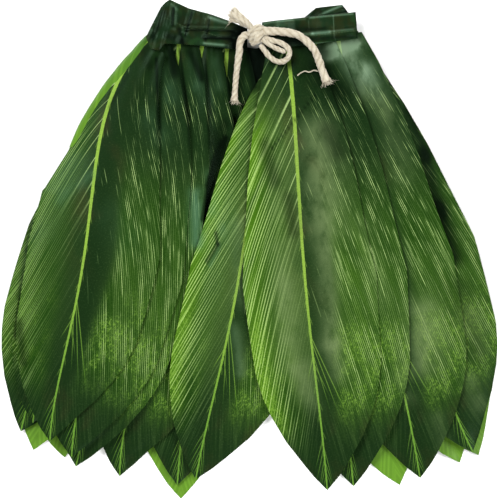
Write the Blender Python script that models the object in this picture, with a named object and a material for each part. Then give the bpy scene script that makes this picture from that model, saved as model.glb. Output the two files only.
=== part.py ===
"""Ti leaf skirt laid flat with its front up.

Leaf-shaped panels of printed cloth hang from a gathered waistband, which a cotton cord ties at the
centre front. The tables are in millimetres. X runs to the right and Y runs from the hem to the waist.
Each piece is laid on the pieces beneath it, in the order of the tables, and its height follows from
what it covers.
"""

import bmesh
import bpy
import numpy as np

MM = 0.001

# Walls and clearances
CLOTH = 1.0
CASING = 2.2
GAP = 0.3

# The map of heights that each new piece is laid on
MAP_HALF_SIDE = 215.0
MAP_CELL = 1.5
FELT_PAST_EDGE = 1.3
STEEPEST = 0.30
SETTLING_PASSES = 60

# The middle of the finished skirt's box, which is moved to the origin
MIDDLE = (0.9, 0.2)

# The cut that every leaf shares: (share of the length, share of the half width)
LEAF_CUT = (
    (0.00, 0.30),
    (0.07, 0.46),
    (0.13, 0.57),
    (0.20, 0.69),
    (0.30, 0.81),
    (0.41, 0.90),
    (0.53, 1.02),
    (0.65, 0.99),
    (0.73, 0.96),
    (0.78, 0.89),
    (0.824, 0.79),
    (0.883, 0.60),
    (0.94, 0.34),
    (0.97, 0.19),
    (1.00, 0.00),
)
CROSS_ROWS = (0, 0.05, 0.11, 0.18, 0.25, 0.31, 0.40, 0.49, 0.58, 0.68, 0.77, 0.84, 0.90, 0.96, 1)
BOW_SHARES = (0.12, 0.33, 0.67)
FINE_STEPS = 240

# A leaf's row: its top and its tip, how far the midrib bows to the right at BOW_SHARES, the half widths
# left and right of the midrib, and how much fuller each half is towards the tip
LEAF_COLUMNS = (
    "name top_x top_y tip_x tip_y bow_top bow_high bow_low left right left_low right_low"
).split()
BACK_LEAVES = (
    ("back_leaf_5", -7, 140, -32, -160, 0, 0, 0, 49, 49, 0.00, 0.00),
    ("back_leaf_4", -27, 149, -54, -199, 0, 1, -1, 50, 50, 0.03, 0.01),
    ("back_leaf_3", -45, 157, -109, -164, 0, 0, 0, 49, 49, 0.00, 0.00),
    ("back_leaf_2", -60, 163, -147, -166, 1, 3, -7, 50, 49, 0.01, 0.00),
    ("back_leaf_1", -67, 168, -172, -160, 0, 1, 0, 47, 47, -0.07, -0.09),
    ("back_leaf_6", 26, 146, 56, -176, 0, 0, 0, 49, 49, 0.00, 0.00),
    ("back_leaf_7", 44, 160, 121, -188, 0, 1, -1, 49, 49, 0.00, -0.01),
    ("back_leaf_8", 56, 167, 137, -164, 0, 0, 0, 49, 49, 0.00, 0.00),
    ("back_leaf_9", 66, 169, 169, -170, 1, 2, -2, 49, 49, -0.06, 0.00),
    ("back_leaf_10", 72, 170, 184, -164, -1, -4, -7, 49, 48, 0.00, 0.00),
)
FRONT_LEAVES = (
    ("front_leaf_1", -64, 168, -182, -145, -1, -5, -8, 44, 54, -0.24, 0.16),
    ("front_leaf_2", -63, 168, -172, -138, -1, 2, -2, 44, 49, -0.18, 0.00),
    ("front_leaf_7", -17, 166, -57, -188, 2, 1, -2, 49, 50, -0.03, 0.00),
    ("front_leaf_6", -36, 166, -103, -181, 1, 6, 2, 45, 55, -0.13, 0.15),
    ("front_leaf_5", -55, 167, -138, -173, 5, 8, 4, 50, 51, 0.09, 0.03),
    ("front_leaf_8", 41, 164, -42, -183, -10, -10, -2, 38, 56, 0.50, 0.17),
    ("front_leaf_4", -77, 167, -141, -165, 6, 9, 1, 49, 54, 0.00, 0.16),
    ("front_leaf_3", -79, 168, -158, -152, -16, -17, -6, 45, 59, 0.07, -0.25),
    ("front_leaf_12", 72, 172, 179, -161, -3, -2, -3, 46, 54, -0.10, 0.10),
    ("front_leaf_11", 71, 171, 137, -182, -2, -4, -2, 51, 61, 0.05, -0.11),
    ("front_leaf_10", 52, 169, 84, -189, 1, 3, 2, 48, 53, -0.04, 0.09),
    ("front_leaf_9", 30, 166, 63, -192, 1, -1, -2, 49, 56, -0.02, -0.05),
)
BACK_ACROSS = 7
FRONT_ACROSS = 9

# The gathers that stand up where a front leaf meets the waistband, and the share of the leaf over which
# they fade
GATHER_HEIGHT = 0.4
GATHER_SHARE = 0.20

# The left margin of the third leaf is folded over onto its front:
# (share of the length, distance of the fold from the midrib, width of the turned margin)
FOLDED_LEAF = "front_leaf_3"
FOLD = (
    (0.00, 3.0, 2.2),
    (0.05, 3.0, 3.2),
    (0.11, 6.0, 5.5),
    (0.18, 11.7, 9.0),
    (0.25, 18.9, 8.0),
    (0.31, 23.8, 0.0),
    (0.40, 38.2, 0.0),
)

# The waistband's pieces, a row for each place along them: (top edge x, y, bottom edge x, y)
BAND_BACK = (
    (-66, 188, -76, 164),
    (-50, 178, -58, 155),
    (-27, 166, -33, 144),
    (6, 161, 4, 131),
    (30, 168, 34, 144),
    (45, 186, 50, 158),
    (54, 193.5, 60, 161),
    (75, 196, 76, 163),
    (80, 189.5, 84, 165),
)
BAND_LEFT = (
    (-69.4, 193.3, -81.3, 168.5),
    (-66.0, 197.0, -77.5, 159.5),
    (-62.7, 199.4, -71.0, 158.0),
    (-57.0, 196.8, -66.5, 163.5),
    (-47.0, 192.2, -54.0, 163.3),
    (-38.0, 189.8, -43.0, 162.5),
    (-29.6, 187.7, -34.0, 161.8),
    (-16.3, 183.1, -18.1, 160.3),
    (-0.9, 176.7, -0.9, 159.1),
)
BAND_RIGHT = (
    (10.7, 181.5, 10.7, 159.1),
    (24.0, 182.9, 24.0, 160.5),
    (37.0, 184.2, 38.0, 161.8),
    (50.0, 185.6, 52.0, 163.4),
    (68.0, 187.6, 69.0, 165.8),
    (85.4, 189.7, 86.7, 168.0),
)
# Across a front band, from its top edge to its bottom edge: (share of the way, height of the ridge)
BAND_RIDGES = ((0.0, 0.0), (0.28, 0.5), (0.52, 0.0), (0.66, 0.8), (0.82, 0.1), (1.0, 0.4))
BAND_PLAIN = ((0.0, 0.0), (0.5, 0.0), (1.0, 0.0))
BAND_PLEAT = 0.6

# The cotton cord: its knot, and for each stretch its name, diameter, step between points and route (x, y, z)
KNOT_PLACE = (6.2, 170.9, 17.2)
KNOT_HALF_SIZES = (4.8, 6.2, 4.6)
KNOT_SEGMENTS = 16
KNOT_RINGS = 9
CORD_BEVEL = 2
ROUTE_FINENESS = 24
CORDS = (
    (
        "tie_right_end", 6.0, 8.0,
        ((11.9, 173.6, 18.6), (25.1, 173.1, 21.9), (37.9, 170.7, 22.4), (46.0, 165.4, 22.2),
         (52.1, 158.6, 21.8), (55.6, 151.0, 20.0), (58.4, 142.6, 19.0), (62.2, 133.5, 18.9)),
    ),
    (
        "tie_loop", 4.4, 4.4,
        ((11.2, 168.4, 18.0), (18.7, 166.2, 20.2), (26.7, 163.6, 20.8), (31.9, 159.0, 20.9),
         (32.0, 153.8, 19.4), (28.3, 150.0, 17.4), (22.7, 149.7, 16.4), (17.0, 153.3, 16.6),
         (13.0, 158.2, 17.4), (9.5, 163.1, 17.6)),
    ),
    (
        "tie_left_end", 5.4, 8.0,
        ((-0.3, 171.0, 16.6), (-4.2, 169.4, 16.0), (-6.8, 164.5, 15.8), (-7.4, 157.0, 15.2),
         (-9.0, 146.0, 13.0), (-10.3, 133.0, 12.2), (-11.2, 118.4, 13.2)),
    ),
    (
        "tie_tuft", 8.8, 5.0,
        ((2.7, 176.3, 17.0), (-3.6, 181.2, 15.0), (-9.0, 185.0, 13.6), (-14.0, 187.6, 13.0)),
    ),
)
# The tuft leaves the knot at half its thickness
TUFT = "tie_tuft"
TUFT_NECK = 0.5


class HeightMap:
    """The height of the top of everything laid so far, on a square grid."""

    def __init__(self):
        count = int(2 * MAP_HALF_SIDE / MAP_CELL)
        centres = -MAP_HALF_SIDE + (np.arange(count) + 0.5) * MAP_CELL
        self.x, self.y = np.meshgrid(centres, centres, indexing="ij")
        self.top = np.full(self.x.shape, -GAP)

    def under(self, corners):
        """The map around a triangle, which of its cells the triangle touches, and their weights."""
        first = np.floor((corners.min(0) - FELT_PAST_EDGE + MAP_HALF_SIDE) / MAP_CELL).astype(int)
        last = np.ceil((corners.max(0) + FELT_PAST_EDGE + MAP_HALF_SIDE) / MAP_CELL).astype(int)
        window = (slice(first[0], last[0] + 1), slice(first[1], last[1] + 1))
        cells = np.stack([self.x[window], self.y[window]], axis=-1)
        one, two = corners[1] - corners[0], corners[2] - corners[0]
        area = one[0] * two[1] - one[1] * two[0]
        if abs(area) < 1e-6:
            return None
        away = cells - corners[0]
        second = (away[..., 0] * two[1] - away[..., 1] * two[0]) / area
        third = (one[0] * away[..., 1] - one[1] * away[..., 0]) / area
        weights = np.stack([1 - second - third, second, third], axis=-1)
        opposite = np.linalg.norm(np.roll(corners, -1, axis=0) - np.roll(corners, 1, axis=0), axis=1)
        touched = (weights * abs(area) / opposite > -FELT_PAST_EDGE).all(-1)
        weights = np.clip(weights, 0, None)
        return window, touched, weights / weights.sum(-1, keepdims=True)

    def cover(self, corners, heights):
        found = self.under(corners)
        if found is not None:
            window, touched, weights = found
            raised = np.maximum(self.top[window], weights @ heights)
            self.top[window] = np.where(touched, raised, self.top[window])


def triangles(rows, columns):
    """The two triangles of each field of a grid, as (row, column) places, anticlockwise from above."""
    for i in range(rows - 1):
        for j in range(columns - 1):
            yield (i, j), (i + 1, j), (i + 1, j + 1)
            yield (i, j), (i + 1, j + 1), (i, j + 1)


def what_it_covers(pile, plan):
    """Every cell under a sheet: the three grid places around it, their weights and the height to clear."""
    columns = plan.shape[1]
    around, weights, needs = [], [], []
    for places in triangles(*plan.shape[:2]):
        found = pile.under(np.array([plan[at] for at in places]))
        if found is None:
            continue
        window, touched, shares = found
        around.append(np.tile([i * columns + j for i, j in places], (int(touched.sum()), 1)))
        weights.append(shares[touched])
        needs.append(pile.top[window][touched] + GAP)
    return np.concatenate(around), np.concatenate(weights), np.concatenate(needs)


def settled(shape, around, weights, needs):
    """Low, smooth heights of a sheet's grid that clear what it covers, none above what lies beside it."""
    most = np.zeros(shape[0] * shape[1])
    np.maximum.at(most, around, np.repeat(needs[:, None], 3, axis=1))
    low = np.zeros_like(most)
    strength = (weights**2).sum(axis=1)
    for _ in range(SETTLING_PASSES):
        short = np.clip(needs - (weights * low[around]).sum(axis=1), 0, None)
        raised = np.zeros_like(low)
        np.maximum.at(raised, around, (short / strength)[:, None] * weights)
        low = np.minimum(low + raised, most)
    for _ in range(2):
        missed = needs - (weights * low[around]).sum(axis=1) > 0
        np.maximum.at(low, around[missed], np.repeat(needs[missed][:, None], 3, axis=1))
    return low.reshape(shape)


def lay(pile, plan, wall, lift):
    """The heights of a sheet's underside once it lies on the pile, to which the sheet is then added."""
    rows, columns = plan.shape[:2]
    low = settled((rows, columns), *what_it_covers(pile, plan))
    down = STEEPEST * np.linalg.norm(np.diff(plan, axis=0), axis=2)
    across = STEEPEST * np.linalg.norm(np.diff(plan, axis=1), axis=2)
    for _ in range(rows + columns):
        low[1:] = np.maximum(low[1:], low[:-1] - down)
        low[:-1] = np.maximum(low[:-1], low[1:] - down)
        low[:, 1:] = np.maximum(low[:, 1:], low[:, :-1] - across)
        low[:, :-1] = np.maximum(low[:, :-1], low[:, 1:] - across)
    low = low + lift
    for places in triangles(rows, columns):
        pile.cover(np.array([plan[at] for at in places]), np.array([low[at] + wall for at in places]))
    return low


def with_height(plan, heights):
    return np.concatenate([plan, heights[..., None]], axis=-1)


def cloth_object(name, under, over, material):
    """A closed wall between two grids of points, whose rows run down and whose columns run to the right."""
    rows, columns = under.shape[:2]
    points = np.concatenate([under.reshape(-1, 3), over.reshape(-1, 3)])
    points = (points - np.array([*MIDDLE, 0.0])) * MM
    above = rows * columns
    faces = []
    for places in triangles(rows, columns):
        corners = [i * columns + j for i, j in places]
        faces.append([above + c for c in corners])
        faces.append(corners[::-1])
    rim = [i * columns for i in range(rows)]
    rim += [(rows - 1) * columns + j for j in range(1, columns)]
    rim += [i * columns + columns - 1 for i in range(rows - 2, -1, -1)]
    rim += list(range(columns - 2, 0, -1))
    for here, after in zip(rim, rim[1:] + rim[:1]):
        faces.append([here, after, above + after])
        faces.append([here, above + after, above + here])
    _, first, same = np.unique(np.round(points, 7), axis=0, return_index=True, return_inverse=True)
    same = same.reshape(-1)
    faces = [[int(same[c]) for c in face] for face in faces]
    faces = [face for face in faces if len(set(face)) == 3]
    mesh = bpy.data.meshes.new(name)
    mesh.from_pydata(points[first].tolist(), [], faces)
    mesh.validate()
    return place(name, mesh, material)


def place(name, data, material):
    made = bpy.data.objects.new(name, data)
    made.data.materials.append(material)
    bpy.context.scene.collection.objects.link(made)
    return made


def paint(name, colour, roughness, sheen):
    material = bpy.data.materials.new(name)
    material.use_nodes = True
    surface = material.node_tree.nodes["Principled BSDF"]
    surface.inputs["Base Color"].default_value = (*colour, 1.0)
    surface.inputs["Roughness"].default_value = roughness
    surface.inputs["Metallic"].default_value = 0.0
    surface.inputs["Sheen Weight"].default_value = sheen
    return material


def cut_half_width(shares):
    cut = np.array(LEAF_CUT)
    return np.interp(shares, cut[:, 0], cut[:, 1])


def leaf_plan(leaf, across):
    """The leaf seen from above: its midrib is read from the bow, and its halves from the shared cut."""
    top = np.array([leaf["top_x"], leaf["top_y"]], float)
    tip = np.array([leaf["tip_x"], leaf["tip_y"]], float)
    length = np.linalg.norm(tip - top)
    along = (tip - top) / length
    right = np.array([-along[1], along[0]])
    terms = [[k * (1 - k) * k**power for power in range(3)] for k in BOW_SHARES]
    bend = np.linalg.solve(terms, [leaf["bow_top"], leaf["bow_high"], leaf["bow_low"]])
    t = np.linspace(0, 1, FINE_STEPS + 1)[:, None]
    rib = top + along * length * t + right * (t * (1 - t) * (bend[0] + bend[1] * t + bend[2] * t * t))
    slope = np.gradient(rib, axis=0)
    slope /= np.linalg.norm(slope, axis=1)[:, None]
    steps = np.linalg.norm(np.diff(rib, axis=0), axis=1)
    share = np.concatenate([[0], np.cumsum(steps)]) / steps.sum()
    rows = np.array(CROSS_ROWS)
    centre = np.stack([np.interp(rows, share, rib[:, k]) for k in range(2)], axis=1)
    side = np.stack([np.interp(rows, share, -slope[:, 1]), np.interp(rows, share, slope[:, 0])], axis=1)
    width = cut_half_width(rows)
    left = leaf["left"] * width * (1 + leaf["left_low"] * (rows - 0.5))
    half_right = leaf["right"] * width * (1 + leaf["right_low"] * (rows - 0.5))
    if leaf["name"] == FOLDED_LEAF:
        fold = np.array(FOLD)
        left = np.where(rows <= fold[-1, 0], np.interp(rows, fold[:, 0], fold[:, 1]), left)
    places = np.linspace(-1, 1, across)
    reach = np.where(places < 0, left[:, None] * places, half_right[:, None] * places)
    return centre[:, None] + side[:, None] * reach[..., None]


def gathers(across):
    """How far the gathers lift a front leaf, at its rows and columns."""
    fade = np.clip(1 - np.array(CROSS_ROWS) / GATHER_SHARE, 0, 1)
    return GATHER_HEIGHT * fade[:, None] * (np.arange(across) % 2)


def turned_margin(pile, plan, low):
    """The folded margin as two more columns on the left, for the underside grid and for the upper grid."""
    fold = np.array(FOLD)
    width = np.interp(CROSS_ROWS, fold[:, 0], fold[:, 2], right=0.0)
    edge = plan[:, 0]
    inward = plan[:, 1] - edge
    inward /= np.maximum(np.linalg.norm(inward, axis=1), 1e-9)[:, None]
    inner = edge + inward * np.maximum(width, 2 * CLOTH)[:, None]
    turned = int((width > 0).sum())
    heights = np.repeat(low[:, :1] + CLOTH, 2, axis=1)
    heights[:turned] = lay(pile, np.stack([edge, inner], axis=1)[:turned], CLOTH, 0.0)
    corner = with_height(edge, low[:, 0] + CLOTH)
    bend_inside = edge + inward * CLOTH
    under = np.stack([corner, corner], axis=1)
    over = np.stack([corner, corner, corner], axis=1)
    for i in range(turned):
        under[i, 0] = (*inner[i], heights[i, 1] + CLOTH)
        under[i, 1] = (*edge[i], heights[i, 0] + CLOTH)
        over[i, 0] = (*inner[i], heights[i, 1])
        over[i, 1] = (*bend_inside[i], heights[i, 0])
        over[i, 2] = (*bend_inside[i], low[i, 0] + CLOTH)
    return under, over


def make_leaves(pile, table, across, lift, material):
    for row in table:
        leaf = dict(zip(LEAF_COLUMNS, row))
        plan = leaf_plan(leaf, across)
        low = lay(pile, plan, CLOTH, lift)
        under = with_height(plan, low)
        over = with_height(plan, low + CLOTH)
        if leaf["name"] == FOLDED_LEAF:
            more_under, more_over = turned_margin(pile, plan, low)
            under = np.concatenate([more_under, under], axis=1)
            over = np.concatenate([more_over, over[:, 1:]], axis=1)
        cloth_object(leaf["name"], under, over, material)


def make_band(pile, name, table, ridges, pleat, material):
    """A flattened length of the casing, with ridges along it and gathers across it."""
    edges = np.array(table, float)
    count = 2 * len(edges) - 1
    spots = np.arange(count) / 2
    edges = np.stack([np.interp(spots, np.arange(len(table)), edges[:, k]) for k in range(4)], axis=1)
    share = np.array(ridges)[:, :1, None]
    plan = edges[None, :, :2] * (1 - share) + edges[None, :, 2:] * share
    lift = np.array(ridges)[:, 1:2] + pleat * (np.arange(count) % 2)[None, :]
    low = lay(pile, plan, CASING, lift)
    cloth_object(name, with_height(plan, low), with_height(plan, low + CASING), material)


def smooth_route(points, step):
    """Even points along the smooth curve through a route's own points."""
    points = np.array(points, float)
    padded = np.concatenate([[2 * points[0] - points[1]], points, [2 * points[-1] - points[-2]]])
    t = np.linspace(0, 1, ROUTE_FINENESS, endpoint=False)[:, None]
    pieces = []
    for before, start, end, after in zip(padded, padded[1:], padded[2:], padded[3:]):
        pieces.append(
            start
            + t * (end - before) / 2
            + t**2 * (2 * before - 5 * start + 4 * end - after) / 2
            + t**3 * (3 * start - before - 3 * end + after) / 2
        )
    line = np.concatenate([*pieces, points[-1:]])
    along = np.concatenate([[0], np.cumsum(np.linalg.norm(np.diff(line, axis=0), axis=1))])
    spots = np.linspace(0, along[-1], max(3, int(round(along[-1] / step)) + 1))
    return np.stack([np.interp(spots, along, line[:, k]) for k in range(3)], axis=1)


def make_cord(name, diameter, step, route, material):
    points = smooth_route(route, step) - np.array([*MIDDLE, 0.0])
    curve = bpy.data.curves.new(name, "CURVE")
    curve.dimensions = "3D"
    curve.bevel_depth = diameter / 2 * MM
    curve.bevel_resolution = CORD_BEVEL
    curve.use_fill_caps = True
    spline = curve.splines.new("POLY")
    spline.points.add(len(points) - 1)
    spline.points.foreach_set("co", np.append(points * MM, np.ones((len(points), 1)), axis=1).ravel())
    if name == TUFT:
        spline.points.foreach_set("radius", np.linspace(TUFT_NECK, 1, len(points)))
    place(name, curve, material)


def make_knot(material):
    shape = bmesh.new()
    bmesh.ops.create_uvsphere(shape, u_segments=KNOT_SEGMENTS, v_segments=KNOT_RINGS, radius=MM)
    bmesh.ops.scale(shape, vec=KNOT_HALF_SIZES, verts=shape.verts)
    mesh = bpy.data.meshes.new("tie_knot")
    shape.to_mesh(mesh)
    shape.free()
    mesh.shade_smooth()
    middle = np.array([*MIDDLE, 0.0])
    place("tie_knot", mesh, material).location = (np.array(KNOT_PLACE) - middle) * MM


def clear_scene():
    for item in list(bpy.data.objects):
        bpy.data.objects.remove(item, do_unlink=True)


def build():
    clear_scene()
    print_side = paint("leaf_print", (0.035, 0.10, 0.028), 0.45, 0.2)
    plain_side = paint("leaf_underside", (0.13, 0.40, 0.03), 0.5, 0.1)
    casing = paint("waistband_cloth", (0.02, 0.06, 0.02), 0.4, 0.2)
    cotton = paint("cotton_cord", (0.72, 0.62, 0.44), 0.9, 0.3)
    pile = HeightMap()
    make_leaves(pile, BACK_LEAVES, BACK_ACROSS, 0.0, plain_side)
    make_band(pile, "waistband_back", BAND_BACK, BAND_PLAIN, 0.0, casing)
    make_leaves(pile, FRONT_LEAVES, FRONT_ACROSS, gathers(FRONT_ACROSS), print_side)
    make_band(pile, "waistband_left", BAND_LEFT, BAND_RIDGES, BAND_PLEAT, casing)
    make_band(pile, "waistband_right", BAND_RIGHT, BAND_RIDGES, 0.0, casing)
    make_knot(cotton)
    for name, diameter, step, route in CORDS:
        make_cord(name, diameter, step, route, cotton)
    return pile


build()
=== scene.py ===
"""A ti leaf skirt laid flat on a white table with its front up, seen from straight above.

The sections follow the skirt: the camera and the table, the cotton cord that ties it, the back leaves,
the back of the waistband, the front leaves in the order in which they lie on each other, and the two
fronts of the waistband.
Tables are in millimetres in the part's own frame: X to the right, Y from the hem to the waist, Z up.
"""

import math

import bpy
import numpy as np
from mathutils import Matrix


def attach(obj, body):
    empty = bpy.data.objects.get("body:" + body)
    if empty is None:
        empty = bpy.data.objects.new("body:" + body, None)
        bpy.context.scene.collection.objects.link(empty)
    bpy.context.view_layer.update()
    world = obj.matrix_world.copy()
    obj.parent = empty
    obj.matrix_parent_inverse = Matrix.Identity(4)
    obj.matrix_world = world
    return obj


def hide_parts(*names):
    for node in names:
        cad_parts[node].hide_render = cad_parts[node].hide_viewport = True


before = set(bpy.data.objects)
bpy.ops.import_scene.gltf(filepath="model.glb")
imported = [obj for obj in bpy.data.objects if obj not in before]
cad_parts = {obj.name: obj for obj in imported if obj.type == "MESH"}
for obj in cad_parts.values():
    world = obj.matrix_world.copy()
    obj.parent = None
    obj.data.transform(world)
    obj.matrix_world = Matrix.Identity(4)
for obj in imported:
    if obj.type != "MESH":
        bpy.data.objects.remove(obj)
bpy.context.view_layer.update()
MM = 0.001


# Camera
# The camera hangs over the middle of the table with a long lens, so that the thick waist hardly leans
# outwards.
LENS = 200.0
SENSOR = 36.0
CAMERA_PLACE = (-0.0009, -0.0002, 2.222)

lens = bpy.data.cameras.new("camera")
lens.lens = LENS
lens.sensor_width = SENSOR
camera = bpy.data.objects.new("camera", lens)
camera.location = CAMERA_PLACE
bpy.context.scene.collection.objects.link(camera)
bpy.context.scene.camera = camera


# Table and light
# A white table top under three broad soft lamps. The key stands at the upper left, and the one at the hem
# draws the satin's sheen out of the gathers below the waistband.
TABLE_SIDE = 6.0
TABLE_DROP = 0.0002
TABLE_WHITE = 0.93
TABLE_ROUGHNESS = 0.9
LAMPS = (
    # name, place (m), side (m), power (W)
    ("key lamp", (-1.35, 1.25, 1.8), 1.2, 96.0),
    ("hem lamp", (0.1, -1.8, 1.2), 1.1, 36.0),
    ("right lamp", (1.8, 0.4, 1.5), 1.3, 62.0),
)
ROOM_LIGHT = 0.22

bpy.ops.object.select_all(action="DESELECT")
bpy.ops.mesh.primitive_plane_add(size=TABLE_SIDE, location=(0, 0, -TABLE_DROP))
table = bpy.context.object
table.name = "table"
white = bpy.data.materials.new("white_table")
white.use_nodes = True
finish = white.node_tree.nodes["Principled BSDF"].inputs
finish["Base Color"].default_value = (TABLE_WHITE, TABLE_WHITE, TABLE_WHITE, 1)
finish["Roughness"].default_value = TABLE_ROUGHNESS
finish["Specular IOR Level"].default_value = 0.0
table.data.materials.append(white)
for name, place, side, power in LAMPS:
    light = bpy.data.lights.new(name, "AREA")
    light.size = side
    light.energy = power
    lamp = bpy.data.objects.new(name, light)
    lamp.location = place
    toward = -np.array(place)
    tilt = math.acos(-toward[2] / np.linalg.norm(toward))
    lamp.rotation_euler = (tilt, 0.0, math.atan2(-toward[0], toward[1]))
    bpy.context.scene.collection.objects.link(lamp)
room = bpy.data.worlds.new("room")
room.use_nodes = True
sky = room.node_tree.nodes["Background"].inputs
sky["Color"].default_value = (1, 1, 1, 1)
sky["Strength"].default_value = ROOM_LIGHT
bpy.context.scene.world = room
bpy.context.scene.view_settings.view_transform = "Standard"


# Cotton cord
# Undyed cotton drawstring, three soft strands laid together. It comes out of the casing's two front ends
# and is tied in a half bow: a knot, one loop with its inner strand, a short tuft, and two ends that fray.


def tint(red, green, blue):
    """A colour as it shows on screen, 0 to 255, made linear."""
    return tuple((c / 255) ** 2.2 for c in (red, green, blue))


ROPE_SIDES = 30
ROPE_STEP = 0.5
CURVE_STEPS = 24
STRANDS = 3
STRAND_GROOVE = 0.12
STRAND_ROUNDNESS = 0.6
LAY_LENGTH = 3.3
LAY_DRIFT = 0.35
LAY_DRIFT_PACE = 0.8
ROPE_WAVES = (
    # height as a share of the radius, waves around, waves along (1/mm), share of the rope's own turn
    (0.04, 0, 0.9, 1), (0.04, 2, 0.37, 0), (0.025, 5, -1.7, 1), (0.02, 0, 2.3, 3),
)
COTTON = tint(194, 187, 168)
COTTON_DEEP = tint(122, 108, 84)
COTTON_ROUGHNESS = 0.95
COTTON_SPECULAR = 0.1
COTTON_SHEEN = 0.15
COTTON_RELIEF = 0.0010
FIBRES_AROUND = 22.0
FIBRES_ALONG = 2.2
MOTTLE_SCALE = 260.0


class Dye:
    """A value, a vector or a colour on its way through a material's nodes."""

    def __init__(self, tree, socket=None):
        self.tree, self.socket = tree, socket

    def node(self, kind, output=0, settings=None, inputs=None):
        made = self.tree.nodes.new(kind)
        for name, value in (settings or {}).items():
            setattr(made, name, value)
        for name, value in (inputs or {}).items():
            if isinstance(value, Dye):
                self.tree.links.new(value.socket, made.inputs[name])
            else:
                made.inputs[name].default_value = value
        return Dye(self.tree, made.outputs[output])

    def math(self, operation, *values):
        return self.node("ShaderNodeMath", 0, {"operation": operation}, dict(enumerate(values)))

    def __add__(self, other):
        return self.math("ADD", self, other)

    __radd__ = __add__

    def __sub__(self, other):
        return self.math("SUBTRACT", self, other)

    def __rsub__(self, other):
        return self.math("SUBTRACT", other, self)

    def __mul__(self, other):
        return self.math("MULTIPLY", self, other)

    __rmul__ = __mul__

    def __truediv__(self, other):
        return self.math("DIVIDE", self, other)

    def __abs__(self):
        return self.math("ABSOLUTE", self)

    def most(self, other):
        return self.math("MAXIMUM", self, other)

    def least(self, other):
        return self.math("MINIMUM", self, other)

    def rise(self, start, end):
        """0 up to start and 1 from end on, with a soft step between them."""
        settings = {"interpolation_type": "SMOOTHSTEP"}
        inputs = {"Value": self, "From Min": start, "From Max": end}
        return self.node("ShaderNodeMapRange", 0, settings, inputs)

    def hump(self, start, top, last, end):
        """A soft step up between the first two places and down between the last two."""
        return self.rise(start, top) * (1 - self.rise(last, end))

    def split(self):
        """The x and the y of a place."""
        return [self.node("ShaderNodeSeparateXYZ", axis, None, {0: self}) for axis in (0, 1)]

    def uv(self, name):
        """The two coordinates that one of the mesh's maps gives a place."""
        return self.node("ShaderNodeUVMap", 0, {"uv_map": name}).split()

    def value(self, name):
        """A number that the mesh keeps at each of its points."""
        return self.node("ShaderNodeAttribute", "Fac", {"attribute_name": name})

    def noise(self, place, scale=1.0, detail=2.0, rough=0.5):
        inputs = {"Vector": place, "Scale": scale, "Detail": detail, "Roughness": rough}
        return self.node("ShaderNodeTexNoise", 0, {"noise_dimensions": "3D"}, inputs)

    def cloud(self, x, y, pattern=0.0, detail=2.0, rough=0.5):
        """Soft noise over a surface, with one of many patterns."""
        place = self.node("ShaderNodeCombineXYZ", 0, None, {0: x, 1: y, 2: pattern})
        return self.noise(place, 1.0, detail, rough)

    def blend(self, share, first, second):
        """The first colour where share is 0 and the second where it is 1."""
        values = [c if isinstance(c, Dye) else (*c, 1.0) for c in (first, second)]
        inputs = {0: share, 6: values[0], 7: values[1]}
        return self.node("ShaderNodeMix", 2, {"data_type": "RGBA"}, inputs)


def new_cloth(name, roughness, specular, sheen=0.0, gloss=(1.0, 1.0, 1.0)):
    """A material, its nodes' starting point, and its surface."""
    material = bpy.data.materials.new(name)
    material.use_nodes = True
    surface = material.node_tree.nodes["Principled BSDF"]
    surface.inputs["Roughness"].default_value = roughness
    surface.inputs["Specular IOR Level"].default_value = specular
    surface.inputs["Specular Tint"].default_value = (*gloss, 1.0)
    surface.inputs["Sheen Weight"].default_value = sheen
    return material, Dye(material.node_tree), surface


def join_up(surface, socket, dye):
    dye.tree.links.new(dye.socket, surface.inputs[socket])


def emboss(surface, height, depth):
    """Relief from a height of 0 to 1 that stands depth metres deep."""
    inputs = {"Height": height, "Distance": depth, "Strength": 1.0}
    join_up(surface, "Normal", height.node("ShaderNodeBump", 0, None, inputs))


def cotton_cloth():
    """Pale fibres along each strand, with painted shade in the grooves between the strands, and darker small
    blotches.
    """
    material, start, surface = new_cloth("cotton_cord", COTTON_ROUGHNESS, COTTON_SPECULAR, COTTON_SHEEN)
    around, along = start.uv("lay")
    fibres = start.cloud(around * FIBRES_AROUND, along * FIBRES_ALONG, 0.0, 3.0, 0.6)
    mottle = start.noise(start.node("ShaderNodeTexCoord", "Object"), MOTTLE_SCALE, 3.0, 0.6)
    # painted shade: the groove value darkens the cotton between the strands
    shade = start.value("groove") * 0.42 + (1 - fibres.rise(0.3, 0.7)) * 0.26
    shade = shade + (1 - mottle.rise(0.3, 0.75)) * 0.26
    join_up(surface, "Base Color", start.blend(shade.least(1.0), COTTON, COTTON_DEEP))
    emboss(surface, fibres * 0.7 + mottle * 0.3, COTTON_RELIEF)
    return material


cotton = cotton_cloth()


def distance_along(line):
    return np.concatenate([[0], np.cumsum(np.linalg.norm(np.diff(line, axis=0), axis=1))])


def smooth_route(points, step):
    """Even points along the smooth curve through a route's own points, and its length."""
    points = np.array(points, float)
    padded = np.concatenate([[2 * points[0] - points[1]], points, [2 * points[-1] - points[-2]]])
    t = np.linspace(0, 1, CURVE_STEPS, endpoint=False)[:, None]
    pieces = []
    for before, start, end, after in zip(padded, padded[1:], padded[2:], padded[3:]):
        pieces.append(
            start
            + t * (end - before) / 2
            + t**2 * (2 * before - 5 * start + 4 * end - after) / 2
            + t**3 * (3 * start - before - 3 * end + after) / 2
        )
    line = np.concatenate([*pieces, points[-1:]])
    along = distance_along(line)
    spots = np.linspace(0, along[-1], max(3, int(round(along[-1] / step)) + 1))
    return np.stack([np.interp(spots, along, line[:, k]) for k in range(3)], axis=1), along[-1]


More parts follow.
